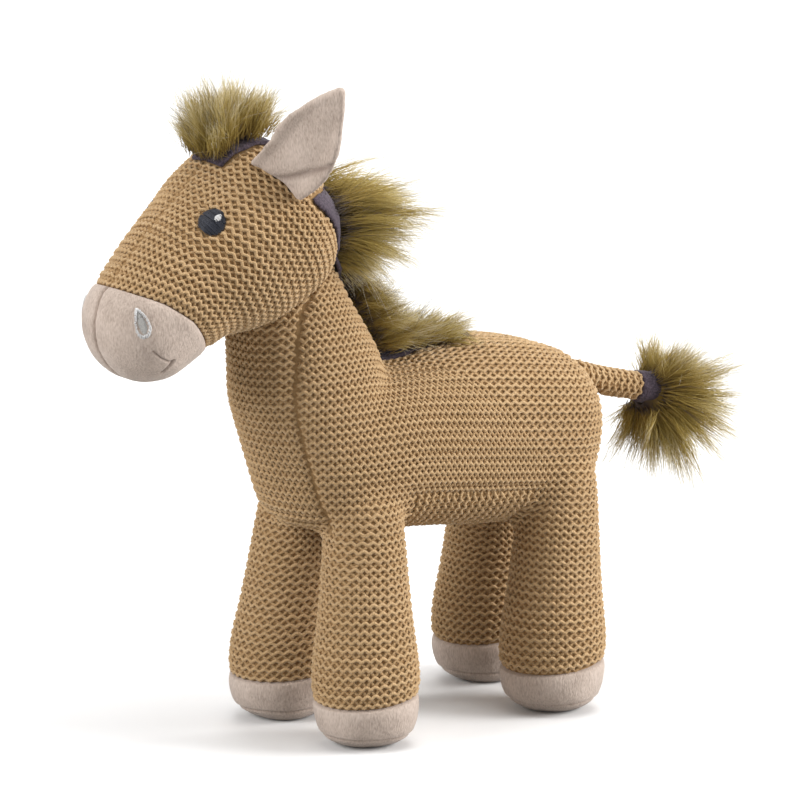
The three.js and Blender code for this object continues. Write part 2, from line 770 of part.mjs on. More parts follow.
const withersPile = stuffedForm(withersForm, 0)
  .subtract(crestPiled)
  .subtract(stuffedForm(plumeForm, seamGap));
addPiece('mane_pile_lower', withersPile, furPile);

// Tail: a stuffed knitted tube with a fur tuft sleeved on its end, hinged at the rump
const droop = THREE.MathUtils.degToRad(tailDroop);
const tailAlong = new THREE.Vector3(Math.cos(droop), 0, -Math.sin(droop));
const tailRise = (tailHeight - trunkShares[0].rise * trunkHeight) / (trunkShares[0].tall * trunkHeight);
const tailRootX = trunkRear + rumpBulge * Math.sqrt(1 - tailRise * tailRise);
const tailRoot = new THREE.Vector3(tailRootX, 0, bellyHeight + tailHeight);
const tailStart = tailRoot.clone().addScaledVector(tailAlong, -tailRootInset);
const tailEnd = tailRoot.clone().addScaledVector(tailAlong, tailLength);
const tailSize = new THREE.Vector3(tailDiameter / 2, tailDiameter / 2, 0);
const tailForm = {
  centres: [tailStart, tailStart.clone().lerp(tailEnd, 0.5), tailEnd],
  girths: [tailSize, tailSize, tailSize],
  side: across,
  sides: smallSides,
  capRings: 1,
  steps: 3,
  fullness: 2,
  firstCap: tailDiameter / 2,
  lastCap: tailDiameter / 4,
};
const tailClearances = [];
for (let k = 0; k <= sweepSteps; k += 1) {
  const angle = -THREE.MathUtils.lerp(tailHinge.up, tailHinge.down, k / sweepSteps);
  const turn = new THREE.Matrix4().makeTranslation(tailRoot)
    .multiply(new THREE.Matrix4().makeRotationAxis(across, THREE.MathUtils.degToRad(angle)))
    .multiply(new THREE.Matrix4().makeTranslation(tailRoot.clone().negate()));
  tailClearances.push(trunkClear.transform(turn.toArray()));
}
const tailClearance = joined(tailClearances);
const tailOuter = stuffedForm(tailForm, 0);
const tailSkin = tailOuter.subtract(stuffedForm(tailForm, -knitThickness)).subtract(tailClearance);
addPiece('tail_skin', tailSkin, knit);
addPiece('tail_stuffing', stuffedForm(tailForm, coreInset).subtract(tailClearance), filling);

const sleeveStart = tailEnd.clone().addScaledVector(tailAlong, -tuftSleeve);
const sleeveForm = {
  ...tailForm,
  centres: [sleeveStart, sleeveStart.clone().lerp(tailEnd, 0.5), tailEnd],
};
const sleeveOuter = cutBelow(
  stuffedForm(sleeveForm, seamGap + backingThickness), tailAlong, sleeveStart);
addPiece('tail_tuft_backing', sleeveOuter.subtract(stuffedForm(tailForm, seamGap)), furBacking);
const tuftForm = {
  centres: tuftShares.map((share) => sleeveStart.clone()
    .addScaledVector(tailAlong, pileRound / 2 + share.along * tuftLength)
    .addScaledVector(upward, -share.sag * tuftSag)),
  girths: tuftShares.map((share) => new THREE.Vector3(
    share.girth * tuftDiameter, share.girth * tuftDiameter, 0)),
  side: across,
  sides: smallSides,
  capRings: 1,
  steps: 6,
  fullness: 2,
  firstCap: pileRound / 2,
  lastCap: pileRound,
};
const tuftSocket = stuffedForm(sleeveForm, 2 * seamGap + backingThickness)
  .add(stuffedForm(tailForm, 2 * seamGap + backingThickness));
addPiece('tail_tuft', stuffedForm(tuftForm, 0).subtract(tuftSocket), furPile);

// The finished toy, with its origin on the floor under the middle of its bounding box
function meshOf({ name, solid, finish }) {
  const { numProp, vertProperties, triVerts } = solid.getMesh();
  const geometry = new THREE.BufferGeometry();
  const coordinates = [];
  for (let i = 0; i < vertProperties.length; i += numProp) {
    coordinates.push(vertProperties[i], vertProperties[i + 1], vertProperties[i + 2]);
  }
  geometry.setAttribute('position', new THREE.Float32BufferAttribute(coordinates, 3));
  geometry.setIndex(Array.from(triVerts));
  geometry.computeVertexNormals();
  const material = new THREE.MeshStandardMaterial({ ...finish, metalness: 0 });
  const mesh = new THREE.Mesh(geometry, material);
  mesh.name = name;
  return mesh;
}

const group = new THREE.Group();
pieces.forEach((piece) => group.add(meshOf(piece)));
const bounds = new THREE.Box3().setFromObject(group);
const middle = bounds.getCenter(new THREE.Vector3());
group.position.set(-middle.x, -middle.y, -bounds.min.z);
group.updateMatrixWorld(true);

export default group;
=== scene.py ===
# A knitted plush horse: skins in real knitted rows over soft stuffed forms, pale plush
# hooves, muzzle and ears, embroidered eyes and nostrils, faux fur mane, forelock and tail.
import json
import math
import bmesh
import bpy
import numpy as np
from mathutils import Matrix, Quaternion, Vector, noise as hashed
from mathutils.bvhtree import BVHTree
from mathutils.kdtree import KDTree


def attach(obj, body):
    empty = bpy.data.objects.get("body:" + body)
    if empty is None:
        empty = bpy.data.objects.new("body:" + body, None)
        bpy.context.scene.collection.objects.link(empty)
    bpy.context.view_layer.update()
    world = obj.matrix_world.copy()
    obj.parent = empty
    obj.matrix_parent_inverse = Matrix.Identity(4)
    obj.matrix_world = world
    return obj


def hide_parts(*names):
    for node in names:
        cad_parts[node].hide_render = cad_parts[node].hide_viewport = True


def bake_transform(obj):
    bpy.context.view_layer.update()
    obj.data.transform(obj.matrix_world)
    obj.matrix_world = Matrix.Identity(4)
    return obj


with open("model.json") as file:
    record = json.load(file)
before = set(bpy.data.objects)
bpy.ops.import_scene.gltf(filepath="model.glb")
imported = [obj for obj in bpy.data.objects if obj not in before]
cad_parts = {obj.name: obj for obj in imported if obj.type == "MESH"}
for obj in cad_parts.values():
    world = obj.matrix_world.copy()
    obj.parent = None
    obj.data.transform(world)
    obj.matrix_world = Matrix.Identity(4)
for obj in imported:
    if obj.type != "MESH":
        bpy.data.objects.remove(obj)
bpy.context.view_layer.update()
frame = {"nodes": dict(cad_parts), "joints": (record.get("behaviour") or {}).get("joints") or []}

mm = 0.001
collection = bpy.context.scene.collection

# Where the toy stands: lengths in millimetres from the point between the front and rear feet
stance = {
    "tailRoot": (94.168388, 0, 145),
    "headCentre": (-95.6, 0, 235.5),
    "headPitch": 32,
    "neckTop": (-75, 0, 210),
    "trunkFront": -49,
    "beltHeight": 122,
    "beltBand": 4,
    "legTop": 108,
    "hips": {"front": -46.4, "rear": 65.6, "aside": 24.5},
    "feet": {
        "front_left": (-52, -33.5),
        "front_right": (-52, 33.5),
        "rear_left": (54, -33.5),
        "rear_right": (65.5, 33.5),
    },
}
feet = stance["feet"]
hinges = {joint["child"]: Vector(joint["pos_m"]) for joint in frame["joints"]}
shift = hinges["tail"] - Vector(stance["tailRoot"]) * mm


def place(x, y, z):
    return shift + Vector((x, y, z)) * mm


headCentre = place(*stance["headCentre"])
pitch = math.radians(stance["headPitch"])
headAlong = Vector((-math.cos(pitch), 0, -math.sin(pitch)))
headLift = Vector((-math.sin(pitch), 0, math.cos(pitch)))
sides = ((-1, "left"), (1, "right"))

# Camera: a long lens from the toy's front left, slightly above it
view = {"target": (13.858, 28.327, 139.663), "azimuth": -37, "elevation": 12.5,
        "distance": 4.0, "pixelsPerMetre": 2174, "frame": 800, "sensor": 36, "farthest": 20}
azimuth, elevation = math.radians(view["azimuth"]), math.radians(view["elevation"])
sight = Vector((-math.sin(azimuth) * math.cos(elevation),
                math.cos(azimuth) * math.cos(elevation), -math.sin(elevation)))
screenRight = Vector((math.cos(azimuth), math.sin(azimuth), 0))
screenUp = screenRight.cross(sight)
camera = bpy.data.objects.new("camera", bpy.data.cameras.new("camera"))
camera.data.sensor_width = view["sensor"]
camera.data.lens = view["sensor"] * view["distance"] * view["pixelsPerMetre"] / view["frame"]
camera.data.clip_end = view["farthest"]
camera.location = place(*view["target"]) - sight * view["distance"]
camera.rotation_euler = sight.to_track_quat("-Z", "Y").to_euler()
collection.objects.link(camera)
bpy.context.scene.camera = camera
print("camera set")


# Materials
def node(tree, kind, inputs=None, **settings):
    made = tree.nodes.new(kind)
    for key, value in settings.items():
        setattr(made, key, value)
    for key, value in (inputs or {}).items():
        if isinstance(value, bpy.types.NodeSocket):
            tree.links.new(value, made.inputs[key])
        else:
            made.inputs[key].default_value = value
    return made


def ramp(tree, factor, stops):
    made = node(tree, "ShaderNodeValToRGB", {"Fac": factor})
    elements = made.color_ramp.elements
    while len(elements) < len(stops):
        elements.new(0.5)
    for element, (position, colour) in zip(elements, stops):
        element.position = position
        element.color = (*colour, 1)
    return made.outputs["Color"]


# A screen colour, 0 to 255, as the shaders' linear one
def linear(*colour):
    shares = [value / 255 for value in colour]
    return tuple(share / 12.92 if share <= 0.04045 else ((share + 0.055) / 1.055) ** 2.4
                 for share in shares)


def colourRamp(tree, factor, stops):
    return ramp(tree, factor, [(position, linear(*colour)) for position, colour in stops])


clothLook = {"specular": 0.25, "sheenRoughness": 0.45}


def startMaterial(name, roughness, sheen=0.0, sheenTint=(1, 1, 1)):
    material = bpy.data.materials.new(name)
    material.use_nodes = True
    tree = material.node_tree
    shader = tree.nodes["Principled BSDF"]
    shader.inputs["Roughness"].default_value = roughness
    shader.inputs["Specular IOR Level"].default_value = clothLook["specular"]
    shader.inputs["Sheen Weight"].default_value = sheen
    shader.inputs["Sheen Roughness"].default_value = clothLook["sheenRoughness"]
    shader.inputs["Sheen Tint"].default_value = (*sheenTint, 1)
    return material, tree, shader


def objectPoint(tree):
    return node(tree, "ShaderNodeTexCoord").outputs["Object"]


def meshValue(tree, label):
    return node(tree, "ShaderNodeAttribute", attribute_name=label).outputs["Fac"]


def mathNode(tree, operation, *values):
    return node(tree, "ShaderNodeMath", dict(enumerate(values)), operation=operation).outputs[0]


def noise(tree, vector, scale, detail=2.0):
    return node(tree, "ShaderNodeTexNoise",
                {"Vector": vector, "Scale": scale, "Detail": detail}).outputs["Fac"]


def mix(tree, kind, factor, first, second):
    made = node(tree, "ShaderNodeMix", {"Factor": factor}, data_type="RGBA", blend_type=kind)
    for index, value in ((6, first), (7, second)):
        if isinstance(value, bpy.types.NodeSocket):
            tree.links.new(value, made.inputs[index])
        else:
            made.inputs[index].default_value = (*value, 1)
    return made.outputs[2]


def bump(tree, shader, height, distance, strength=1.0):
    made = node(tree, "ShaderNodeBump",
                {"Height": height, "Distance": distance, "Strength": strength})
    tree.links.new(made.outputs["Normal"], shader.inputs["Normal"])


yarnLook = {"stops": ((0.15, (158, 128, 90)), (0.45, (190, 158, 116)), (0.85, (199, 170, 130))),
            "paintedHollowShade": ((0.05, (0.84, 0.79, 0.72)), (0.8, (1, 1, 1))), "twist": 1.5, "plyHeight": 0.2,
            "fibreGrain": (1900, 3), "patchGrain": (48, 2), "patchShare": 0.5,
            "patchStops": ((0.3, (0.43, 0.42, 0.4)), (0.7, (0.6, 0.57, 0.56))), "roughness": 0.85,
            "sheen": 0.3, "tint": (0.95, 0.86, 0.72), "relief": 0.22, "strength": 0.7}


# Two-ply yarn: the plies wind round it with painted shade darkening them toward the grooves between them,
# and painted shade darkens what lies deep between the loops
def yarnMaterial():
    look = yarnLook
    material, tree, shader = startMaterial("knitYarn", look["roughness"], look["sheen"], look["tint"])
    coordinates = node(tree, "ShaderNodeTexCoord")
    around = node(tree, "ShaderNodeSeparateXYZ", {"Vector": coordinates.outputs["UV"]}).outputs["Y"]
    turns = mathNode(tree, "MULTIPLY", meshValue(tree, "along"), 1 / (look["twist"] * mm))
    swirl = mathNode(tree, "MULTIPLY", mathNode(tree, "ADD", around, turns), 4 * math.pi)
    fibre = noise(tree, coordinates.outputs["Object"], *look["fibreGrain"])
    patch = noise(tree, coordinates.outputs["Object"], *look["patchGrain"])
    height = mathNode(tree, "MULTIPLY_ADD", mathNode(tree, "SINE", swirl), look["plyHeight"], fibre)
    # Painted shade: the plies' colour follows their height, darker toward the grooves between them, with a
    # fine fibre grain
    colour = mix(tree, "SOFT_LIGHT", look["patchShare"], colourRamp(tree, height, look["stops"]),
                 ramp(tree, patch, look["patchStops"]))
    # Painted shade: darker where the yarn lies low between the loops and at the ends of rows
    depth = ramp(tree, meshValue(tree, "raised"), look["paintedHollowShade"])
    tree.links.new(mix(tree, "MULTIPLY", 1.0, colour, depth), shader.inputs["Base Color"])
    bump(tree, shader, height, look["relief"] * mm, look["strength"])
    return material


plushLook = {"stops": ((0.4, (168, 151, 139)), (0.58, (190, 173, 160)), (0.76, (205, 188, 176))),
             "creaseShade": (104, 84, 75), "lean": (1, 1, 0.3), "napGrain": (1500, 4), "nap": 0.75,
             "patchGrain": (90, 3), "patch": 0.4, "roughness": 0.9, "sheen": 0.3,
             "tint": (1, 0.95, 0.9), "relief": 0.5, "strength": 0.8}


# Short-pile plush: a fine nap that leans in patches, with painted shade darkening it in its creases
def plushMaterial():
    look = plushLook
    material, tree, shader = startMaterial("palePlush", look["roughness"], look["sheen"], look["tint"])
    coordinates = objectPoint(tree)
    lean = node(tree, "ShaderNodeMapping", {"Vector": coordinates, "Scale": look["lean"]})
    nap = noise(tree, lean.outputs["Vector"], *look["napGrain"])
    patch = mathNode(tree, "MULTIPLY", noise(tree, coordinates, *look["patchGrain"]), look["patch"])
    colour = colourRamp(tree, mathNode(tree, "MULTIPLY_ADD", nap, look["nap"], patch), look["stops"])
    colour = mix(tree, "MIX", meshValue(tree, "creaseShade"), colour, linear(*look["creaseShade"]))
    tree.links.new(colour, shader.inputs["Base Color"])
    bump(tree, shader, nap, look["relief"] * mm, look["strength"])
    return material


# Materials of one fine grain: what shows under the knit, darkened as painted shade between the loops, the
# fur's woven backing and the threads
grainLooks = {
    "knitUnderside": {"light": (158, 127, 88), "dark": (132, 102, 66), "roughness": 0.95,
                      "scale": 700, "relief": 0.3},
    "furBacking": {"light": (88, 76, 86), "dark": (48, 41, 48), "roughness": 0.92, "sheen": 0.2,
                   "tint": (0.8, 0.75, 0.8), "scale": 1100, "relief": 0.4},
}
threadLook = {"sheen": 0.2, "scale": 2600, "detail": 2, "relief": 0.1, "strength": 0.6}
threadColours = {"darkThread": ((40, 43, 54), 0.45), "whiteThread": ((232, 231, 230), 0.6),
                 "greyThread": ((200, 198, 194), 0.6)}
for name, (colour, rough) in threadColours.items():
    grainLooks[name] = {"light": colour, "roughness": rough, **threadLook}
grainStops = (0.3, 0.7)
darkerShare = 0.72


def grainMaterial(name, light, roughness, scale, relief, dark=None, sheen=0.0, tint=(1, 1, 1),
                  detail=3, strength=1.0):
    material, tree, shader = startMaterial(name, roughness, sheen, tint)
    grain = noise(tree, objectPoint(tree), scale, detail)
    light = linear(*light)
    dark = linear(*dark) if dark else tuple(channel * darkerShare for channel in light)
    colour = ramp(tree, grain, list(zip(grainStops, (dark, light))))
    tree.links.new(colour, shader.inputs["Base Color"])
    bump(tree, shader, grain, relief * mm, strength)
    return material


furLook = {"stops": ((0.1, (66, 54, 50)), (0.24, (140, 116, 50)), (0.55, (172, 149, 78)),
                     (0.78, (202, 185, 130)), (0.97, (236, 231, 219))),
           "toneStops": ((0.0, (0.4, 0.38, 0.34)), (0.5, (0.5, 0.5, 0.48)), (0.85, (0.6, 0.59, 0.57))),
           "toneShare": 0.8, "guard": (92, 84, 82), "guardStops": ((0.93, (0, 0, 0)), (0.95, (1, 1, 1))),
           "roughness": 0.7, "sheen": 0.12, "tint": (1, 0.95, 0.8)}


# Fur: olive above a dark root, pale at the tip, with a few dark guard hairs
def furMaterial():
    look = furLook
    material, tree, shader = startMaterial("fauxFur", look["roughness"], look["sheen"], look["tint"])
    tone = meshValue(tree, "tone")
    olive = colourRamp(tree, meshValue(tree, "along"), look["stops"])
    colour = mix(tree, "SOFT_LIGHT", look["toneShare"], olive, ramp(tree, tone, look["toneStops"]))
    colour = mix(tree, "MIX", ramp(tree, tone, look["guardStops"]), colour, linear(*look["guard"]))
    tree.links.new(colour, shader.inputs["Base Color"])
    return material


yarn = yarnMaterial()
plush = plushMaterial()
furPile = furMaterial()
grains = {name: grainMaterial(name, **look) for name, look in grainLooks.items()}
undersideShade, furBacking = grains["knitUnderside"], grains["furBacking"]
print("materials made")


# Forms: merged copies of the frame's solids, remeshed and smoothed like stuffed cloth
def linked(name, mesh, *materials):
    made = bpy.data.objects.new(name, mesh)
    for material in materials:
        mesh.materials.append(material)
    collection.objects.link(made)
    return made


def evaluated(made):
    bpy.context.view_layer.update()
    graph = bpy.context.evaluated_depsgraph_get()
    mesh = bpy.data.meshes.new_from_object(made.evaluated_get(graph))
    bpy.data.objects.remove(made)
    return mesh


def pointsAndNormals(mesh):
    found = []
    for rows, key in ((mesh.vertices, "co"), (mesh.vertex_normals, "vector")):
        values = np.empty(len(mesh.vertices) * 3, np.float32)
        rows.foreach_get(key, values)
        found.append(values.reshape(-1, 3).astype(float))
    return found


def movePoints(mesh, points):
    mesh.vertices.foreach_set("co", points.astype(np.float32).ravel())
    mesh.update()


def addValues(mesh, label, values):
    mesh.attributes.new(label, "FLOAT", "POINT").data.foreach_set("value", values.astype(np.float32))


def meshFrom(name, work):
    mesh = bpy.data.meshes.new(name)
    work.to_mesh(mesh)
    return mesh


def largestShell(work):
    unseen = set(work.verts)
    best = []
    while unseen:
        first = unseen.pop()
        shell, reach = [first], [first]
        while reach:
            for edge in reach.pop().link_edges:
                for vertex in edge.verts:
                    if vertex in unseen:
                        unseen.remove(vertex)
                        shell.append(vertex)
                        reach.append(vertex)
        if len(shell) > len(best):
            best = shell
    keep = set(best)
    bmesh.ops.delete(work, geom=[v for v in work.verts if v not in keep], context="VERTS")


stuffing = {"weld": 1e-6, "smooth": 0.5}


def stuffedForm(nodes, voxel, rounds):
    source = bmesh.new()
    for name in nodes:
        source.from_mesh(frame["nodes"][name].data)
    bmesh.ops.remove_doubles(source, verts=source.verts, dist=stuffing["weld"])
    made = linked("form", meshFrom("form", source))
    source.free()
    remesh = made.modifiers.new("remesh", "REMESH")
    remesh.mode = "VOXEL"
    remesh.voxel_size = voxel * mm
    smooth = made.modifiers.new("smooth", "SMOOTH")
    smooth.factor = stuffing["smooth"]
    smooth.iterations = rounds
    work = bmesh.new()
    work.from_mesh(evaluated(made))
    largestShell(work)
    bmesh.ops.triangulate(work, faces=work.faces)
    work.normal_update()
    return work


class Surface:
    def __init__(self, work):
        work.verts.ensure_lookup_table()
        work.verts.index_update()
        self.work = work
        self.points = np.array([v.co for v in work.verts])
        self.normals = np.array([v.normal for v in work.verts])
        self.corners = np.array([[v.index for v in f.verts] for f in work.faces])


# A field that grows by one for each metre along the surface, away from where it is known
fieldWork = {"unknown": 9.0, "rounds": 260, "settled": 1e-7}


def spreadField(surface, known):
    value = np.where(np.isnan(known), fieldWork["unknown"], known)
    fixed = ~np.isnan(known)
    corners = surface.corners
    c, a, b = np.vstack([corners, np.roll(corners, 1, 1), np.roll(corners, 2, 1)]).T
    toA = surface.points[a] - surface.points[c]
    toB = surface.points[b] - surface.points[c]
    aa, bb, ab = (toA * toA).sum(1), (toB * toB).sum(1), (toA * toB).sum(1)
    area = np.maximum(aa * bb - ab * ab, 1e-18)
    qa, qb, qab = bb / area, aa / area, -ab / area
    total = qa + 2 * qab + qb
    lengthA, lengthB = np.sqrt(aa), np.sqrt(bb)
    for _ in range(fieldWork["rounds"]):
        ta, tb = value[a], value[b]
        half = qa * ta + qab * (ta + tb) + qb * tb
        rest = qa * ta * ta + 2 * qab * ta * tb + qb * tb * tb - 1
        root = half * half - total * rest
        t = (half + np.sqrt(np.maximum(root, 0))) / total
        wa = qa * (ta - t) + qab * (tb - t)
        wb = qab * (ta - t) + qb * (tb - t)
        direct = np.minimum(ta + lengthA, tb + lengthB)
        found = np.where((root >= 0) & (wa <= 0) & (wb <= 0), t, direct)
        before = value.copy()
        np.minimum.at(value, c, found)
        value[fixed] = before[fixed]
        if np.abs(before - value).max() < fieldWork["settled"]:
            break
    return value


# The lines on a surface where a field has one value, as chains of points with normals
def levelLines(surface, field, level):
    corners = surface.corners
    above = field[corners] > level
    count = above.sum(1)
    size = len(surface.points)
    lines, starts = {}, {}
    for wanted in (1, 2):
        rows = np.nonzero(count == wanted)[0]
        lone = above[rows] if wanted == 1 else ~above[rows]
        first = lone.argmax(1)
        v0 = corners[rows, first]
        v1 = corners[rows, (first + 1) % 3]
        v2 = corners[rows, (first + 2) % 3]
        if wanted == 2:
            v1, v2 = v2, v1
        ends = []
        for other in (v1, v2):
            share = ((level - field[v0]) / (field[other] - field[v0]))[:, None]
            crossing = [values[v0] + share * (values[other] - values[v0])
                        for values in (surface.points, surface.normals)]
            key = np.minimum(v0, other) * size + np.maximum(v0, other)
            ends.append((key, np.hstack(crossing)))
        for k1, k2, p1, p2 in zip(ends[0][0], ends[1][0], ends[0][1], ends[1][1]):
            starts[int(k1)] = int(k2)
            lines[int(k1)] = p1
            lines[int(k2)] = p2
    chains = []
    targets = set(starts.values())
    heads = [key for key in starts if key not in targets]
    left = dict(starts)
    while left:
        first = heads.pop() if heads else next(iter(left))
        if first not in left:
            continue
        chain = [first]
        key = first
        while key in left:
            key = left.pop(key)
            chain.append(key)
            if key == first:
                break
        chains.append((np.array([lines[k] for k in chain]), chain[0] == chain[-1]))
    return chains


def runLength(points):
    return np.concatenate([[0], np.cumsum(np.linalg.norm(np.diff(points[:, :3], axis=0), axis=1))])


def columnsAt(marks, along, rows):
    return np.column_stack([np.interp(marks, along, column) for column in rows.T])


# A chain smoothed and cut into equal steps
def resampled(chain, closed, step, rounds=3):
    points = chain.copy()
    for _ in range(rounds):
        if closed:
            ring = points[:-1]
            ring = (np.roll(ring, 1, 0) + 2 * ring + np.roll(ring, -1, 0)) / 4
            points = np.vstack([ring, ring[:1]])
        elif len(points) > 2:
            points[1:-1] = (points[:-2] + 2 * points[1:-1] + points[2:]) / 4
    along = runLength(points)
    marks = np.linspace(0, along[-1], max(int(along[-1] / step), 3) + 1)
    return columnsAt(marks, along, points)


# Reverse knit: raised wavy ridges, and between them a lower strand that waves the other way
knit = {"rowPitch": 3.95, "stitchPitch": 3.75, "uneven": 0.12, "pull": 0.35, "give": 0.22,
        "reach": 1.7, "step": 0.5, "fewestPoints": 5, "fewestSamples": 4, "shortest": 8, "spare": 7,
        "endRun": 1.1, "endDip": 0.9, "endRaised": 0.4,
        "ridge": {"radius": 0.9, "wave": 0.16, "lift": 0.55, "steps": 8, "raised": 0.9, "bob": 0.16},
        "ground": {"radius": 0.8, "wave": -0.22, "lift": 0.06, "steps": 5, "raised": 0.22, "bob": -0.1}}
rowPitch = knit["rowPitch"] * mm


# A bevelled curve made a mesh, with values given for each of its points kept as attributes
def curveMesh(name, splines, values, radius, material, widths=None, sides=4):
    curve = bpy.data.curves.new(name, "CURVE")
    curve.dimensions = "3D"
    curve.bevel_depth = radius
    curve.bevel_resolution = (sides - 4) // 2
    curve.use_fill_caps = True
    for index, points in enumerate(splines):
        spline = curve.splines.new("POLY")
        spline.points.add(len(points) - 1)
        spline.points.foreach_set(
            "co", np.column_stack([points, np.ones(len(points))]).astype(np.float32).ravel())
        if widths is not None:
            spline.points.foreach_set("radius", widths[index].astype(np.float32))
    made = bpy.data.objects.new(name, curve)
    collection.objects.link(made)
    mesh = evaluated(made)
    mesh.name = name
    caps = len(mesh.vertices) - sides * sum(len(points) for points in splines)
    for label, lists in values.items():
        addValues(mesh, label, np.concatenate([np.zeros(caps), np.repeat(np.concatenate(lists), sides)]))
    mesh.shade_smooth()
    return linked(name, mesh, material)


# How far round its loops a row is at each sample, drawn under the loops of the row before
def loopTurns(run, s, hold, previous, first):
    pace = 2 * math.pi / (knit["stitchPitch"] * mm)
    if previous is None:
        pace /= first
    wanted = np.full(len(run), np.nan)
    if previous is not None:
        finder, before = previous
        for k, point in enumerate(run[:, :3]):
            at, index, gap = finder.find(Vector(point))
            if gap < knit["reach"] * rowPitch:
                wanted[k] = before[index]
    known = ~np.isnan(wanted)
    if known.any():
        hold = np.where(known, hold, np.inf)
    centre = int(np.argmin(hold))
    turn = np.zeros(len(run))
    turn[centre] = wanted[centre] if known.any() else 0
    for sign, order in ((1, range(centre + 1, len(run))), (-1, range(centre - 1, -1, -1))):
        for k in order:
            last = k - sign
            step = abs(s[k] - s[last]) * pace
            pull = 0.0
            if known[k]:
                late = wanted[k] - turn[last] - sign * step
                late -= 2 * math.pi * round(late / (2 * math.pi))
                pull = max(-knit["give"], min(knit["give"], knit["pull"] * late)) * sign
            turn[k] = turn[last] + sign * step * (1 + pull)
    return turn


# The runs of each row that lie inside part of a surface, with how far round its loops each one is
def rowRuns(surface, field, inside, anchor, levels, first):
    previous = None
    for half in range(2 * levels.start, 2 * levels.stop, levels.step):
        number = half / 2
        placed = []
        for chain, closed in levelLines(surface, field, number * rowPitch):
            if len(chain) < knit["fewestPoints"]:
                continue
            samples = resampled(chain, closed, knit["step"] * mm)
            mask = inside(samples[:, :3])
            if not mask.any():
                continue
            if closed:
                cut = int(np.argmax(anchor(samples[:, :3])) if mask.all() else np.nonzero(~mask)[0][0])
                samples = np.vstack([samples[cut:-1], samples[:cut + 1]])
                mask = inside(samples[:, :3])
            edges = np.flatnonzero(np.diff(np.concatenate([[0], mask.astype(int), [0]])))
            for begin, end in zip(edges[::2], edges[1::2]):
                if end - begin >= knit["shortest"]:
                    run = samples[begin:end]
                    s = runLength(run)
                    placed.append((run, s, loopTurns(run, s, anchor(run[:, :3]), previous, first)))
        if placed:
            every = np.vstack([row[0][:, :3] for row in placed])
            finder = KDTree(len(every))
            for index, point in enumerate(every):
                finder.insert(point, index)
            finder.balance()
            previous = (finder, np.concatenate([row[2] for row in placed]))
        for row in placed:
            yield number, row, "ground" if half % 2 else "ridge"


# One row's yarn: it waves along the surface and bobs off it, and dips at its ends
def knitStrand(run, s, turn, kind, random):
    strand = knit[kind]
    count = int((turn[-1] - turn[0]) / (2 * math.pi) * strand["steps"])
    if count < knit["fewestSamples"]:
        return None
    t = np.linspace(turn[0], turn[-1], count)
    at = np.interp(t, turn, s)
    base = columnsAt(at, s, run)
    points, normals = base[:, :3], base[:, 3:]
    normals = normals / np.linalg.norm(normals, axis=1)[:, None]
    tangents = np.gradient(points, axis=0)
    tangents /= np.maximum(np.linalg.norm(tangents, axis=1), 1e-9)[:, None]
    knots = np.arange(turn[0], turn[-1] + knit["spare"], math.pi)
    wobble = 1 + knit["uneven"] * np.interp(t, knots, random.normal(size=len(knots)))
    end = np.clip(np.minimum(at - at[0], at[-1] - at) / (knit["endRun"] * mm), 0, 1)
    reach = strand["wave"] * rowPitch * np.cos(t) * wobble
    height = (strand["lift"] + strand["bob"] * np.cos(2 * t) * wobble - (1 - end) * knit["endDip"]) * mm
    points = points + np.cross(normals, tangents) * reach[:, None] + normals * height[:, None]
    # How raised the yarn lies, kept only to paint shade on low strands and on the dipping ends of rows
    raised = strand["raised"] * (knit["endRaised"] + (1 - knit["endRaised"]) * end)
    return points, runLength(points), raised, np.full(count, strand["radius"])


# Knitted rows on part of a surface, one piece for each name that spread gives
def knitRows(name, surface, field, inside, anchor, levels, spread=None, first=1.0):
    random = np.random.default_rng(sum(map(ord, name)))
    rows = {}
    for number, row, kind in rowRuns(surface, field, inside, anchor, levels, first):
        key = spread(row[0][:, :3].mean(0), number) if spread else name
        rows.setdefault(key, []).append((*row, kind))
    pieces = {}
    for key in rows:
        strands = [strand for strand in (knitStrand(*row, random) for row in rows[key]) if strand]
        if strands:
            splines, alongs, raiseds, widths = zip(*strands)
            pieces[key] = curveMesh(key, splines, {"along": alongs, "raised": raiseds}, mm, yarn, widths)
    return pieces


# How far a point is outside a surface, negative inside it
def outside(bvh, points):
    result = np.empty(len(points))
    for index, point in enumerate(points):
        at, normal, face, away = bvh.find_nearest(Vector(point))
        result[index] = away if (Vector(point) - at).dot(normal) > 0 else -away
    return result


# How far a point is from a surface, up to a limit
def away(bvh, points, reach):
    result = np.full(len(points), reach)
    for index, point in enumerate(points):
        found = bvh.find_nearest(Vector(point), reach)
        if found[0] is not None:
            result[index] = found[3]
    return result


# Seams: pulled into the forms, and used to part one panel's rows from the next. Millimetres and
# degrees; the muzzle's seam is a line of shares of the head's length and height
seams = {"panel": (1.1, 2.2), "back": (0.7, 1.6), "crown": (0.6, 1.5), "backFrom": 120,
         "hoofHeight": 22, "hoofTilt": 5, "soleHeight": 6.5, "footReach": 34,
         "legRowsTo": 98, "chestHalf": 23.5, "chestBottom": 96, "chestSlack": 4,
         "chestRise": (94, 210), "bellyRise": 113, "bellyFront": -55,
         "bellyBottom": 76, "bellySpan": (-60, 92), "bellyLeg": 20, "legReach": 24,
         "muzzleStart": -8, "headLength": 73, "headHeight": 83,
         "muzzleShares": ((0.75, -0.6), (0.8, -0.29), (0.87, 0), (0.95, 0.17), (1.09, 0.34), (1.35, 0.6))}
muzzleSeam = np.array([(seams["headLength"] * along + seams["muzzleStart"], seams["headHeight"] * lift)
                       for along, lift in seams["muzzleShares"]])
hoofTilt = math.tan(math.radians(seams["hoofTilt"]))
# How the rows lie: level at the chest, tilting toward the rump, along the hoof seam at the feet
lie = {"levelTo": -27, "ease": 12, "legTilt": 0.04, "trunkTilt": 0.14, "tiltFrom": 60, "tiltOver": 50,
       "footBelow": 58, "footOver": 36, "midX": 5, "midY": 5}


def localTo(points):
    return (points - np.array(shift)) / mm


def onSide(points, sign):
    return sign * (points[:, 1] - shift.y)


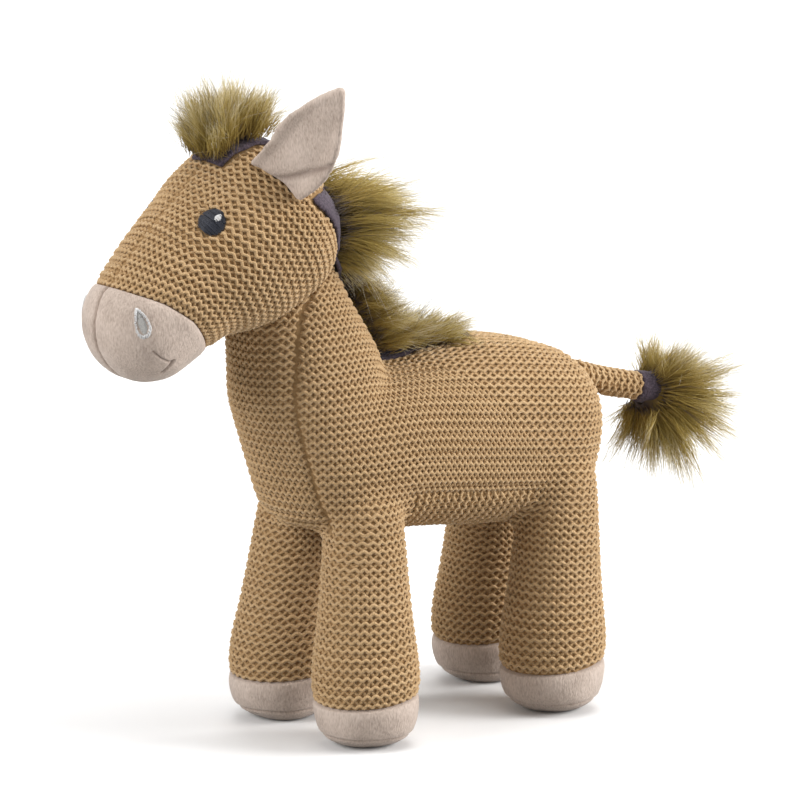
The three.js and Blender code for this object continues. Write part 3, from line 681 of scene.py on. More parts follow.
# Height above the hoof seam of the nearest leg
def hoofGap(points):
    local = localTo(points)
    low = np.full(len(local), 1e3)
    near = np.full(len(local), 1e9)
    for x, y in feet.values():
        far = np.hypot(local[:, 0] - x, local[:, 1] - y)
        gap = local[:, 2] - seams["hoofHeight"] - hoofTilt * (local[:, 0] - x)
        closer = far < near
        low[closer] = gap[closer]
        near[closer] = far[closer]
    return low * mm


def chestEdge(height):
    low, high = seams["chestRise"]
    share = (height - low) / (high - low)
    return stance["trunkFront"] + share * (stance["neckTop"][0] - stance["trunkFront"])


def isChest(points, margin=0.0):
    local = localTo(points)
    return ((np.abs(local[:, 1]) < seams["chestHalf"] - margin)
            & (local[:, 0] < chestEdge(local[:, 2])) & (local[:, 2] > seams["chestBottom"] + margin))


# Distance from the middle line of the nearest leg
def legAway(local):
    best = np.full(len(local), 1e9)
    hips = stance["hips"]
    for x, y in feet.values():
        lean = np.clip(local[:, 2] / stance["legTop"], 0, 1)
        hipX = hips["rear"] if x > 0 else hips["front"]
        hipY = math.copysign(hips["aside"], y)
        best = np.minimum(best, np.hypot(local[:, 0] - (x + (hipX - x) * lean),
                                         local[:, 1] - (y + (hipY - y) * lean)))
    return best


def rowHeight(points):
    x, y, z = localTo(points).T
    behind = np.maximum(x - lie["levelTo"], 0)
    behind = behind * behind / (behind + lie["ease"])
    tilt = lie["legTilt"] + (lie["trunkTilt"] - lie["legTilt"]) * np.clip(
        (z - lie["tiltFrom"]) / lie["tiltOver"], 0, 1)
    footX = np.where(x < lie["midX"], feet["front_left"][0],
                     np.where(y < lie["midY"], feet["rear_left"][0], feet["rear_right"][0]))
    low = np.clip((lie["footBelow"] - z) / lie["footOver"], 0, 1)
    return (z + tilt * behind - hoofTilt * (x - footX) * low) * mm


def isBelly(points):
    local = localTo(points)
    rise = rowHeight(points) / mm
    return ((rise < seams["bellyRise"]) & (local[:, 2] > seams["bellyBottom"])
            & (local[:, 0] > seams["bellyFront"]) & (legAway(local) > seams["legReach"])
            & ~isChest(points))


def muzzleGap(points):
    local = (points - np.array(headCentre)) / mm
    along = local @ np.array(headAlong)
    lift = local @ np.array(headLift)
    return (along - np.interp(lift, muzzleSeam[:, 1], muzzleSeam[:, 0])) * mm


def moved(surface, points):
    for vertex, point in zip(surface.work.verts, points):
        vertex.co = point
    surface.work.normal_update()
    return Surface(surface.work)


# Draws a form in along its seams, to the seam's depth and width
def sink(surface, seam, *distances):
    depth, width = np.array(seams[seam]) * mm
    pull = np.zeros(len(surface.points))
    for distance in distances:
        pull = np.maximum(pull, np.exp(-(distance / width) ** 2))
    return moved(surface, surface.points - surface.normals * (pull * depth)[:, None])


bodyNodes = (["side_panel_left", "side_panel_right", "neck_skin", "chest_panel", "belly_panel",
              "body_stuffing"] + [f"{part}_{leg}" for part in ("leg", "hoof", "sole") for leg in feet])
headNodes = ["head_left", "head_right", "muzzle_left", "muzzle_right", "head_stuffing"]
formWork = {"bodyVoxel": 2.4, "bodyRounds": 20, "headVoxel": 2.2, "headRounds": 14}
body = Surface(stuffedForm(bodyNodes, formWork["bodyVoxel"], formWork["bodyRounds"]))
head = Surface(stuffedForm(headNodes, formWork["headVoxel"], formWork["headRounds"]))
bodyLocal = localTo(body.points)
x, y, z = bodyLocal.T
farAway = 99
chestSide = np.where((x < chestEdge(z)) & (z > seams["chestBottom"] - seams["chestSlack"]),
                     np.abs(np.abs(y) - seams["chestHalf"]), farAway) * mm
bellyFrom, bellyTo = seams["bellySpan"]
bellySide = np.where((legAway(bodyLocal) > seams["bellyLeg"]) & (x > bellyFrom) & (x < bellyTo),
                     np.abs(rowHeight(body.points) / mm - seams["bellyRise"]), farAway) * mm
body = sink(body, "panel", np.abs(hoofGap(body.points)), chestSide, bellySide)
body = sink(body, "back", np.where(z > seams["backFrom"], np.abs(y), farAway) * mm)
crownSide = np.abs(localTo(head.points)[:, 1]) * mm
head = sink(head, "panel", np.abs(muzzleGap(head.points)))
head = sink(head, "crown", crownSide)
bodyTree, headTree = BVHTree.FromBMesh(body.work), BVHTree.FromBMesh(head.work)


def roughness(points, scale, amount):
    return np.array([hashed.noise(Vector(point) * scale) for point in points]) * amount


# A soft solid from the frame's own, remeshed, smoothed and roughened
def softSolid(name, nodes, voxel, rounds, material, rough, scale, swell=0.0):
    work = stuffedForm(nodes, voxel, rounds)
    mesh = meshFrom(name, work)
    work.free()
    points, normals = pointsAndNormals(mesh)
    points = points + normals * ((swell + roughness(points, scale, rough)) * mm)[:, None]
    movePoints(mesh, points)
    mesh.shade_smooth()
    return linked(name, mesh, material), points, normals


# Woven fur backings. The mane's spreads over the back of the head and narrows down the neck:
# heights, the share of its solid's width there, and how far its edges reach forward
maneSpread = {"height": (200, 212, 222, 232, 242, 255, 264, 272),
              "wide": (0.4, 0.9, 1.9, 2.9, 3.5, 3.8, 3.5, 1.8),
              "forward": (0, 0, 0, 2, 7, 14, 16, 7), "edge": 36,
              "headFrom": 207}


def maneForward(height, aside):
    forward = np.interp(height, maneSpread["height"], maneSpread["forward"]) * mm
    return forward * (aside / (maneSpread["edge"] * mm)) ** 2


def spreadBacking(points):
    points = points.copy()
    height = localTo(points)[:, 2]
    lift = outside(headTree, points)
    aside = (points[:, 1] - shift.y) * np.interp(height, maneSpread["height"], maneSpread["wide"])
    points[:, 1] = shift.y + aside
    points[:, 0] -= maneForward(height, aside)
    for index in np.flatnonzero(height > maneSpread["headFrom"]):
        at, normal = headTree.find_nearest(Vector(points[index]))[:2]
        points[index] = at + normal * lift[index]
    return points


backing = {"voxel": 0.8, "rounds": 3, "rough": 0.3, "scale": 500, "swell": 0.25,
           "pieces": (("forelock_backing_cloth", "forelock_backing", "body"),
                      ("mane_backing_cloth", "mane_backing", "body"),
                      ("tuft_backing_cloth", "tail_tuft_backing", "tail"))}
backingWork = bmesh.new()
for name, solid, ridesOn in backing["pieces"]:
    made, points, normals = softSolid(name, [solid], backing["voxel"], backing["rounds"], furBacking,
                                      backing["rough"], backing["scale"], swell=backing["swell"])
    if solid == "mane_backing":
        movePoints(made.data, spreadBacking(points))
    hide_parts(solid)
    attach(made, ridesOn)
    if ridesOn == "body":
        backingWork.from_mesh(made.data)
backingTree = BVHTree.FromBMesh(backingWork)
backingWork.free()
print("forms made", len(body.points), len(head.points))

# The body's rows: level up to the belt, and above it at equal distances over the back
belt = stance["beltHeight"] * mm
rise = rowHeight(body.points)
known = np.where(rise < belt + stance["beltBand"] * mm, rise - belt, np.nan)
above = spreadField(body, np.where(rise >= belt, known, 0))
bodyField = np.where(rise > belt, above + belt, rise)


# Where the knitting leaves room, in millimetres: for the head, the body and the fur's backing, and
# at the seams
clearance = {"headFrom": 180, "head": 0.7, "bodyTo": 235, "body": -2, "backingHalf": 42,
             "backingReach": 4, "backing": 1.3, "back": 0.35, "crown": 0.3, "plush": 0.8, "eye": 0.1,
             "sideAtChest": -0.4, "chest": 0.5}


def whereNear(points, near, test):
    result = np.ones(len(points), bool)
    if near.any():
        result[near] = test(points[near])
    return result


def clearOfHead(points):
    return whereNear(points, localTo(points)[:, 2] > clearance["headFrom"],
                     lambda near: outside(headTree, near) > clearance["head"] * mm)


def clearOfBody(points):
    return whereNear(points, localTo(points)[:, 2] < clearance["bodyTo"],
                     lambda near: outside(bodyTree, near) > clearance["body"] * mm)


def clearOfBacking(points):
    return whereNear(points, np.abs(localTo(points)[:, 1]) < clearance["backingHalf"],
                     lambda near: away(backingTree, near, clearance["backingReach"] * mm)
                     > clearance["backing"] * mm)


# Least where the side rows start from: the neck's line on the trunk, the outer front on a leg
anchors = {"legTop": 90, "legWay": (0.6, -0.8), "neckFoot": (-49, 114), "neckLean": (26, 96),
           "trunkX": -47, "middle": (5, 20), "outward": -0.2}


def sideAnchor(points):
    x, y, z = localTo(points).T
    footX, footZ = anchors["neckFoot"]
    leanX, leanZ = anchors["neckLean"]
    startX = np.where(z > footZ, footX - leanX * (z - footZ) / leanZ, anchors["trunkX"])
    half, penalty = anchors["middle"]
    trunk = np.abs(x - startX) + np.where(np.abs(y) < half, penalty, 0) + anchors["outward"] * np.abs(y)
    forward, outward = anchors["legWay"]
    return np.where(z < anchors["legTop"], forward * x + outward * np.abs(y), trunk)


def middleAnchor(points):
    return np.abs(points[:, 1] - shift.y)


def sidePiece(side):
    def choose(middle, number):
        local = localTo(middle)
        if number * knit["rowPitch"] > seams["legRowsTo"]:
            return f"side_knit_{side}"
        return f"leg_knit_{'front' if local[0] < lie['midX'] else 'rear'}_{side}"
    return choose


# Numbers of the lowest rows, and the belly's rows, which run across it
firstRows = {"side": 3, "chest": 20, "chestShift": 0.5}
bellyRows = {"offset": 300, "span": (30, 130)}
knitPieces = {}
top = int(bodyField.max() / rowPitch)
for sign, side in sides:
    def isSide(points, sign=sign):
        return ((onSide(points, sign) > clearance["back"] * mm) & ~isBelly(points)
                & ~isChest(points, clearance["sideAtChest"]) & (hoofGap(points) > clearance["plush"] * mm)
                & clearOfHead(points) & clearOfBacking(points))
    knitPieces.update(knitRows(f"side_{side}", body, bodyField, isSide, sideAnchor,
                               range(top, firstRows["side"], -1), sidePiece(side)))
knitPieces.update(knitRows(
    "chest_knit", body, bodyField + firstRows["chestShift"] * rowPitch,
    lambda points: isChest(points, clearance["chest"]) & clearOfHead(points), middleAnchor,
    range(top, firstRows["chest"], -1)))
knitPieces.update(knitRows(
    "belly_knit", body, body.points[:, 0] + bellyRows["offset"] * mm, isBelly, middleAnchor,
    range(*bellyRows["span"])))
print("body knitted", len(knitPieces))

# The head's rows: along the muzzle seam at first, turning square to the head farther back
headTurn = {"reach": 45, "share": 0.75, "middle": 55.5, "tighter": 1.13, "first": 2.5, "anchor": 2,
            "firstPitch": 0.84}
gap = -muzzleGap(head.points) / mm
seamAt = gap + (head.points - np.array(headCentre)) @ np.array(headAlong) / mm
turned = headTurn["share"] * (seamAt - headTurn["middle"]) * np.clip(gap / headTurn["reach"], 0, 1)
turned = headTurn["tighter"] * (gap - turned) + headTurn["first"]
known = np.where(gap < headTurn["reach"], turned, np.nan)
headField = spreadField(head, np.where(gap < 0, headTurn["first"], known) * mm)
topHead = int(headField.max() / rowPitch)


def headAnchor(points):
    return np.abs((points - np.array(headCentre)) @ np.array(headLift) + headTurn["anchor"] * mm)


# Places on the face: along the head's core, and round its section from the crown
face = {"eyeAlong": 21.8, "eyeTurn": {"left": 38.8, "right": 47}, "eyeRadius": 6.2,
        "nostrilAlong": 75.2, "nostrilTurn": 57.5, "nostrilTwist": 68, "rayFrom": 100}


def faceFrame(along, turn, sign, twist):
    turn, twist = math.radians(turn), math.radians(twist)
    out = headLift * math.cos(turn) + Vector((0, 1, 0)) * (sign * math.sin(turn))
    origin = headCentre + headAlong * (along * mm)
    hit = headTree.ray_cast(origin + out * (face["rayFrom"] * mm), -out)[0]
    out = out.normalized()
    forward = headAlong.copy()
    forward.rotate(Quaternion(out, -sign * twist))
    aside = out.cross(forward).normalized()
    return hit, forward.normalized(), aside, out


eyes = {side: faceFrame(face["eyeAlong"], face["eyeTurn"][side], sign, 0) for sign, side in sides}
for sign, side in sides:
    def isHalf(points, sign=sign, eyeAt=np.array(eyes[side][0])):
        eyeGap = np.linalg.norm(points - eyeAt, axis=1) - face["eyeRadius"] * mm
        return ((onSide(points, sign) > clearance["crown"] * mm) & (eyeGap > clearance["eye"] * mm)
                & (-muzzleGap(points) > clearance["plush"] * mm)
                & clearOfBody(points) & clearOfBacking(points))
    knitPieces.update(knitRows(f"head_knit_{side}", head, headField, isHalf, headAnchor,
                               range(1, topHead + 1), first=headTurn["firstPitch"]))
print("head knitted", len(knitPieces))


def surfaceObject(name, surface, material):
    mesh = meshFrom(name, surface.work)
    mesh.shade_smooth()
    return linked(name, mesh, material)


# The forms under the knit, in the underside colour that is painted shade between the loops
bodyCore = surfaceObject("body_core", body, undersideShade)
headCore = surfaceObject("head_core", head, undersideShade)
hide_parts(*[name for name in bodyNodes if name[:4] not in ("hoof", "sole")])
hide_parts("head_left", "head_right", "head_stuffing")
for made in (bodyCore, headCore, *knitPieces.values()):
    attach(made, "body")


# Plush skins: part of a form, raised above it, dipping into the seams at their edges
plushSkin = {"lift": 1.5, "soleLift": 1.2, "dip": 1.2, "edge": 2.4, "edgeFrom": -0.6, "hem": 3.2,
             "wrinkle": 0.35, "wrinkleScale": 70, "nap": 0.1, "napScale": 900, "levels": 2,
             "dark": 0.6, "floor": 0.02, "overlap": 0.4}


def plushPatch(name, surface, inner, lift, creases=()):
    work = surface.work.copy()
    work.verts.ensure_lookup_table()
    outer = inner(surface.points) < -plushSkin["hem"] * mm
    bmesh.ops.delete(work, geom=[v for v, out in zip(work.verts, outer) if out], context="VERTS")
    largestShell(work)
    made = linked(name, meshFrom(name, work))
    work.free()
    made.modifiers.new("divide", "SUBSURF").levels = plushSkin["levels"]
    mesh = evaluated(made)
    mesh.name = name
    points, normals = pointsAndNormals(mesh)
    edge = np.clip((inner(points) / mm - plushSkin["edgeFrom"]) / plushSkin["edge"], 0, 1)
    edge = np.sin(edge * math.pi / 2)
    height = -plushSkin["dip"] + (lift + plushSkin["dip"]) * edge
    height = height + edge * roughness(points, plushSkin["wrinkleScale"], plushSkin["wrinkle"])
    height = height + edge * roughness(points, plushSkin["napScale"], plushSkin["nap"])
    # Painted shade: darker where the skin dips into its seams and along the mouth's creases
    dark = plushSkin["dark"] * (1 - edge) ** 2
    for line, deep, wide in creases:
        groove = np.exp(-(lineAway(points, line) / mm / wide) ** 2)
        height = height - deep * groove
        dark = np.maximum(dark, plushSkin["dark"] * deep * groove ** 2)
    points = points + normals * (height * mm)[:, None]
    points[:, 2] = np.maximum(points[:, 2], plushSkin["floor"] * mm)
    movePoints(mesh, points)
    addValues(mesh, "creaseShade", dark)
    mesh.shade_smooth()
    return linked(name, mesh, plush)


def lineAway(points, line):
    best = np.full(len(points), 1.0)
    for a, b in zip(line[:-1], line[1:]):
        a, b = np.array(a), np.array(b)
        along = np.clip((points - a) @ (b - a) / ((b - a) @ (b - a)), 0, 1)
        best = np.minimum(best, np.linalg.norm(points - a - along[:, None] * (b - a), axis=1))
    return best


def headPoint(along, aside, lift):
    return list(headCentre + (headAlong * along + Vector((0, aside, 0)) + headLift * lift) * mm)


# The mouth: a dart sewn into each half of the muzzle, with a pucker above it. Each line has its
# corners on the head, its depth and its width
mouthLines = [
    (((77.4, 22.7, 0.2), (75.9, 22.8, -4.4), (73.4, 22.5, -8.9), (71.6, 22.8, -9.7)), 0.9, 0.5),
    (((71.6, 22.8, -9.7), (73.7, 21.1, -11.2), (76.6, 17.9, -13.0)), 1.3, 0.6),
    (((79.5, 21.2, 5.0), (80.5, 20.5, 0.5), (79.5, 20.5, -4.0)), 0.3, 1.8),
]


def finishPlush(made, *nodes):
    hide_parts(*nodes)
    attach(made, "body")


soleTop, overlap = seams["soleHeight"] * mm, plushSkin["overlap"] * mm
for leg, foot in feet.items():
    def nearLeg(points, foot=foot):
        local = localTo(points)
        return np.hypot(local[:, 0] - foot[0], local[:, 1] - foot[1]) < seams["footReach"]

    def inHoof(points, nearLeg=nearLeg):
        return np.where(nearLeg(points), np.minimum(-hoofGap(points), points[:, 2] - soleTop + overlap), -1)

    def inSole(points, nearLeg=nearLeg):
        return np.where(nearLeg(points), soleTop - points[:, 2] + overlap, -1)
    finishPlush(plushPatch(f"hoof_plush_{leg}", body, inHoof, plushSkin["lift"]), f"hoof_{leg}")
    finishPlush(plushPatch(f"sole_plush_{leg}", body, inSole, plushSkin["soleLift"]), f"sole_{leg}")
for sign, side in sides:
    def inMuzzle(points, sign=sign):
        return np.minimum(muzzleGap(points), onSide(points, sign))
    creases = [([headPoint(along, sign * aside, lift) for along, aside, lift in line], deep, wide)
               for line, deep, wide in mouthLines]
    finishPlush(plushPatch(f"muzzle_plush_{side}", head, inMuzzle, plushSkin["lift"], creases),
                f"muzzle_{side}")
print("plush sewn")


# Ears: the near one's inner edge is drawn in, and a soft fold crosses it with painted shade along it.
# Heights above its seat, its outer edge there and the share of the width that is kept; the fold's corners
# from the seat
earTuck = {"height": (3, 9.6, 16.3, 23, 29.6, 36.3, 41), "edge": (25, 27.6, 28.9, 29.8, 31.1, 31.6, 31.6),
           "keep": (1, 0.89, 0.79, 0.79, 0.75, 0.74, 0.8)}
earFold = {"line": ((-3.4, -2.0, -1.0), (1.1, -9.0, 0.7), (4.2, -16.1, 3.2), (6.6, -24.1, 6.0),
                    (8.9, -30.5, 8.2)), "depth": 1.3, "width": 1.6, "dark": 0.5}
ears = {"voxel": 0.95, "rounds": 5, "rough": 0.35, "scale": 90, "swell": 0.5, "rootBend": (-3, 9),
        "long": {"left": (0.15, -0.64, 0.755), "right": (0.79, 0.51, -0.33)}}


def tuckedAndFolded(points, normals, seat):
    line = [list(seat + Vector(corner) * mm) for corner in earFold["line"]]
    groove = np.exp(-(lineAway(points, line) / mm / earFold["width"]) ** 2)
    out = points - np.array(seat)
    height = out @ np.array(screenUp) / mm
    edge = np.interp(height, earTuck["height"], earTuck["edge"]) * mm
    across = out @ np.array(screenRight) - edge
    shrink = np.interp(height, earTuck["height"], earTuck["keep"]) - 1
    points = points + np.outer(shrink * across, screenRight)
    return points - normals * (earFold["depth"] * groove * mm)[:, None], groove


for side, way in ears["long"].items():
    plies = (f"ear_{side}_front", f"ear_{side}_back")
    made, points, normals = softSolid(f"ear_plush_{side}", plies, ears["voxel"], ears["rounds"], plush,
                                      ears["rough"], ears["scale"], swell=ears["swell"])
    seat, long = hinges[f"ear_{side}"], Vector(way).normalized()
    groove = np.zeros(len(points))
    if side == "left":
        points, groove = tuckedAndFolded(points, normals, seat)
        movePoints(made.data, points)
    # Painted shade along the near ear's fold
    addValues(made.data, "creaseShade", earFold["dark"] * groove)
    near, far = ears["rootBend"]
    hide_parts(*plies)
    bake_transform(made)
print("ears sewn")


# Embroidery: satin stitches laid side by side over a low pad
stitching = {"radius": 0.2, "pitch": 0.34, "points": 8, "uneven": 0.09, "archPower": 0.6,
             "endRise": 0.35, "rayFrom": 30}
eyeLook = {"corners": 48, "padShare": 0.97, "padRise": 1.4, "rise": 1.3, "dome": 0.5, "seed": 3}
padRings = {"shares": (1.0, 0.85, 0.6, 0.3), "power": 3, "sunk": 0.3}
glintLook = {"along": -2.7, "aside": -1.15, "half": (1.7, 1.75), "pitch": 0.3, "rise": 2.1,
             "dome": 0.35, "seed": 5}
nostrilLook = {"half": (7.2, 3.6), "taper": 0.45, "fullest": 1.18, "rimShares": (1.0, 0.7),
               "corners": 80, "rise": 2.0, "dome": 0.45, "seed": 7}
nostrilFill = {"share": 0.74, "corners": 160, "near": 0.12, "pitch": 0.3, "rows": 16, "rise": 1.8,
               "dome": 0.1, "seed": 9}


# The point of the head's skin under a place on a flat frame
def skinUnder(seat, x, y):
    origin, forward, aside, out = seat
    height = stitching["rayFrom"] * mm
    return headTree.ray_cast(origin + forward * (x * mm) + aside * (y * mm) + out * height, -out)[0]


def satin(name, seat, chords, rise, dome, material, seed, solid):
    random = np.random.default_rng(seed)
    steps = np.linspace(0, 1, stitching["points"])
    low = stitching["endRise"]
    splines = []
    for (x0, y0), (x1, y1) in chords:
        jitter = random.normal(size=4) * stitching["uneven"]
        points = []
        for t in steps:
            x = x0 + jitter[0] + (x1 - x0 + jitter[1]) * t
            y = y0 + jitter[2] + (y1 - y0 + jitter[3]) * t
            arch = math.sin(math.pi * t) ** stitching["archPower"]
            height = rise * (low + (1 - low) * arch) + dome * arch
            points.append(list(skinUnder(seat, x, y) + seat[3] * (height * mm)))
        splines.append(np.array(points))
    made = curveMesh(name, splines, {"along": [steps] * len(splines)}, stitching["radius"] * mm, material)
    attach(made, "body")
    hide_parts(solid)


def ovalChords(cx, cy, rx, ry, pitch):
    chords = []
    x = -rx + pitch / 2
    while x < rx:
        half = ry * math.sqrt(max(1 - (x / rx) ** 2, 0))
        chords.append(((cx + x, cy - half), (cx + x, cy + half)))
        x += pitch
    return chords


def dropOutline(scale, count):
    halfX, halfY = nostrilLook["half"]
    outline = []
    for k in range(count):
        t = 2 * math.pi * k / count
        u = -math.cos(t)
        widest = (1 + nostrilLook["taper"] * u) / nostrilLook["fullest"]
        outline.append((halfX * scale * u, halfY * scale * math.sin(t) * widest))
    return outline


def padDisc(name, seat, outline, rise, material):
    work = bmesh.new()
    rings = []
    for share in padRings["shares"]:
        height = (rise * (1 - share ** padRings["power"]) - padRings["sunk"]) * mm
        rings.append([work.verts.new(skinUnder(seat, x * share, y * share) + seat[3] * height)
                      for x, y in outline])
    for first, second in zip(rings[:-1], rings[1:]):
        for k in range(len(first)):
            n = (k + 1) % len(first)
            work.faces.new((first[k], first[n], second[n], second[k]))
    work.faces.new(rings[-1])
    bmesh.ops.recalc_face_normals(work, faces=work.faces)
    mesh = meshFrom(name, work)
    work.free()
    mesh.shade_smooth()
    made = linked(name, mesh, material)
    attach(made, "body")


dark, white, grey = grains["darkThread"], grains["whiteThread"], grains["greyThread"]
for sign, side in sides:
    radius = face["eyeRadius"]
    turns = [2 * math.pi * k / eyeLook["corners"] for k in range(eyeLook["corners"])]
    circle = [(radius * math.cos(turn) * eyeLook["padShare"], radius * math.sin(turn) * eyeLook["padShare"])
              for turn in turns]
    padDisc(f"eye_pad_{side}", eyes[side], circle, eyeLook["padRise"], dark)
    satin(f"eye_stitches_{side}", eyes[side], ovalChords(0, 0, radius, radius, stitching["pitch"]),
          eyeLook["rise"], eyeLook["dome"], dark, eyeLook["seed"], f"eye_{side}")
    spot = ovalChords(glintLook["along"], sign * glintLook["aside"], *glintLook["half"], glintLook["pitch"])
    satin(f"glint_stitches_{side}", eyes[side], spot, glintLook["rise"], glintLook["dome"], white,
          glintLook["seed"], f"eye_glint_{side}")
    nostril = faceFrame(face["nostrilAlong"], face["nostrilTurn"], sign, face["nostrilTwist"])
    rim = list(zip(*[dropOutline(share, nostrilLook["corners"]) for share in nostrilLook["rimShares"]]))
    satin(f"nostril_stitches_{side}", nostril, rim, nostrilLook["rise"], nostrilLook["dome"], white,
          nostrilLook["seed"], f"nostril_rim_{side}")
    fillOutline = dropOutline(nostrilFill["share"], nostrilFill["corners"])
    fillChords = []
    for k in range(-nostrilFill["rows"], nostrilFill["rows"] + 1):
        x = k * nostrilFill["pitch"]
        inside = [y for px, y in fillOutline if abs(px - x) < nostrilFill["near"]]
        if inside:
            fillChords.append(((x, min(inside)), (x, max(inside))))
    satin(f"nostril_fill_{side}", nostril, fillChords, nostrilFill["rise"], nostrilFill["dome"], grey,
          nostrilFill["seed"], f"nostril_centre_{side}")
print("face embroidered")

# Tail: a knitted tube that flares at its root
tail = {"voxel": 1.3, "rounds": 8, "flare": 1.7, "flareReach": 9, "swell": 0.3, "way": (47, 0, -14),
        "span": (-4, 40), "bend": (-4, 9), "rowOffset": 20, "rows": (3, 20)}
tailAxis = Vector(tail["way"]).normalized()


def downTail(points):
    return (points - np.array(hinges["tail"])) @ np.array(tailAxis)


def inTail(points):
    along = downTail(points)
    return (along > tail["span"][0] * mm) & (along < tail["span"][1] * mm)


tailForm = Surface(stuffedForm(["tail_skin", "tail_stuffing"], tail["voxel"], tail["rounds"]))
decay = np.exp(-np.maximum(downTail(tailForm.points), 0) / (tail["flareReach"] * mm))
flare = tail["flare"] * mm * decay + tail["swell"] * mm
tailForm = moved(tailForm, tailForm.points + tailForm.normals * flare[:, None])
tailKnit = knitRows("tail_knit", tailForm, downTail(tailForm.points) + tail["rowOffset"] * mm, inTail,
                    lambda points: -points[:, 2], range(*tail["rows"]))
tailCore = surfaceObject("tail_core", tailForm, undersideShade)
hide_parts("tail_skin", "tail_stuffing")
bendStart, bendEnd = [hinges["tail"] + tailAxis * (reach * mm) for reach in tail["bend"]]
for made in (tailCore, *tailKnit.values()):
    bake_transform(made)
    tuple(bendStart)
    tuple(bendEnd)
print("tail knitted")

# Fur: an undercoat and combed strands. Each piece is a fan of locks along its root line. The fan
# gives, for shares of that line, the way the locks point (degrees above the backward level),
# their length and the bare length at their root, in millimetres
furPieces = {
    "forelock": {"node": "forelock_pile", "rides": "body", "locks": 165, "core": 0.42, "seed": 11,
                 "line": ((-117, 0, 272), (-108, 0, 276), (-89, 0, 279)),
                 "aside": (8, 9, 11), "dark": 5, "lean": 24,
                 "fan": ((0, 108, 25, 1), (0.3, 102, 36, 2), (0.6, 86, 34, 4), (1, 56, 25, 5)),
                 "jitter": 10, "droop": 0.04, "lift": 90},
    "mane_upper": {"node": "mane_pile_upper", "rides": "body", "locks": 225, "core": 0.5, "seed": 12,
                   "line": ((-56, 0, 252), (-50, 0, 228), (-37, 0, 204)),
                   "aside": (33, 25, 7), "dark": 9, "lean": 12, "onHead": True,
                   "fan": ((0, 15, 50, 6), (0.3, 2, 62, 10), (0.6, -14, 46, 10), (1, -24, 27, 5)),
                   "jitter": 9, "droop": 0.1, "lift": 30},
    "mane_lower": {"node": "mane_pile_lower", "rides": "body", "locks": 190, "core": 0.5, "seed": 13,
                   "line": ((-38, 0, 200), (-26, 0, 174), (14, 0, 173)),
                   "aside": (7, 9, 9), "dark": -6, "lean": 34,
                   "fan": ((0, 20, 24, 0), (0.35, 36, 30, 0), (0.6, 42, 30, 0), (1, 22, 24, 0)),
                   "jitter": 12, "droop": 0.08, "lift": 70},
    "tail_tuft": {"node": "tail_tuft", "rides": "tail", "locks": 230, "core": 0.5, "seed": 14,
                  "line": ((140, 0, 139), (138, 0, 133), (134, 0, 126)),
                  "aside": (6, 6, 6), "dark": 3, "lean": 42,
                  "fan": ((0, 72, 22, 1), (0.14, 44, 31, 2), (0.3, 12, 46, 3), (0.5, -16, 53, 4),
                          (0.68, -48, 54, 4), (0.84, -78, 42, 3), (1, -112, 25, 1)),
                  "jitter": 12, "droop": 0.08, "lift": -15},
}
furStrand = {"radius": 0.135, "points": 4, "perLock": 30, "spreads": (2.4, 3.0, 1.1), "loose": 2.2,
             "flyaways": 0.1, "guards": 0.35, "guardTone": 0.97, "wave": 0.7, "curl": 0.09, "tip": 0.15,
             "lengths": (0.68, 1.08), "shorterAside": 0.18, "late": 0.25, "rootRise": 0.35,
             "flyReach": (0.95, 1.2), "flyThin": 0.6, "thickness": (0.75, 1.3), "lockTone": 0.6,
             "toneTo": 0.85, "bendAt": 0.5, "reach": (0.5, 1.0), "reachPower": 0.7, "bare": (0.7, 1.3),
             "mostBare": 0.5, "rootFlat": (1, 1, 0.6), "tipSpread": 2, "waves": 7, "phase": 6,
             "taperPower": 0.7}
undercoat = {"voxel": 1.6, "rounds": 6, "rough": 1.2, "scale": 160, "tone": 0.3, "darkOver": 55,
             "darkest": 0.02, "lightest": 0.3}


# For each point, the nearest place on a piece's root line
def furRoot(points, piece):
    line = [np.array(place(*corner)) for corner in piece["line"]]
    best = np.full(len(points), np.inf)
    roots = points.copy()
    for a, b in zip(line[:-1], line[1:]):
        share = np.clip((points - a) @ (b - a) / ((b - a) @ (b - a)), 0, 1)
        near = a + share[:, None] * (b - a)
        far = np.linalg.norm(points - near, axis=1)
        roots[far < best] = near[far < best]
        best = np.minimum(best, far)
    return roots


def heading(angle, lean):
    level = math.cos(lean)
    return np.array((math.cos(angle) * level, math.sin(lean), math.sin(angle) * level))


# One lock: where its root is, the ways it starts and points, its length and its bare share
def furLock(piece, number, random):
    share = (number + random.random()) / piece["locks"]
    fan = np.array(piece["fan"])
    angle, length, bare = [np.interp(share, fan[:, 0], fan[:, k]) for k in (1, 2, 3)]
    across = random.uniform(-1, 1)
    line = np.array([place(*corner) for corner in piece["line"]])
    root = np.array([np.interp(share, np.linspace(0, 1, len(line)), line[:, k]) for k in range(3)])
    root[1] += across * np.interp(share, (0, 0.5, 1), piece["aside"]) * mm
    if piece.get("onHead") and root[2] > maneSpread["headFrom"] * mm:
        root[0] -= maneForward(root[2] / mm, root[1] - shift.y)
        root = np.array(headTree.find_nearest(Vector(root))[0])
        bare = bare * (1 - abs(across))
    angle = math.radians(angle + random.normal() * piece["jitter"])
    lean = math.radians(across * piece["lean"] + random.normal() * piece["jitter"])
    length = length * random.uniform(*furStrand["lengths"]) * (
        1 - furStrand["shorterAside"] * across * across) * mm
    way = heading(angle, lean)
    low = furStrand["rootRise"]
    rise = heading(math.radians(piece["lift"]), lean) * low + way * (1 - low)
    drop = np.array((0, 0, -piece["droop"] * length))
    curl = random.normal(size=3) * furStrand["curl"] * length
    middle = rise * (furStrand["bendAt"] * length)
    return root, middle, way * length + drop + curl, length, bare * mm / length


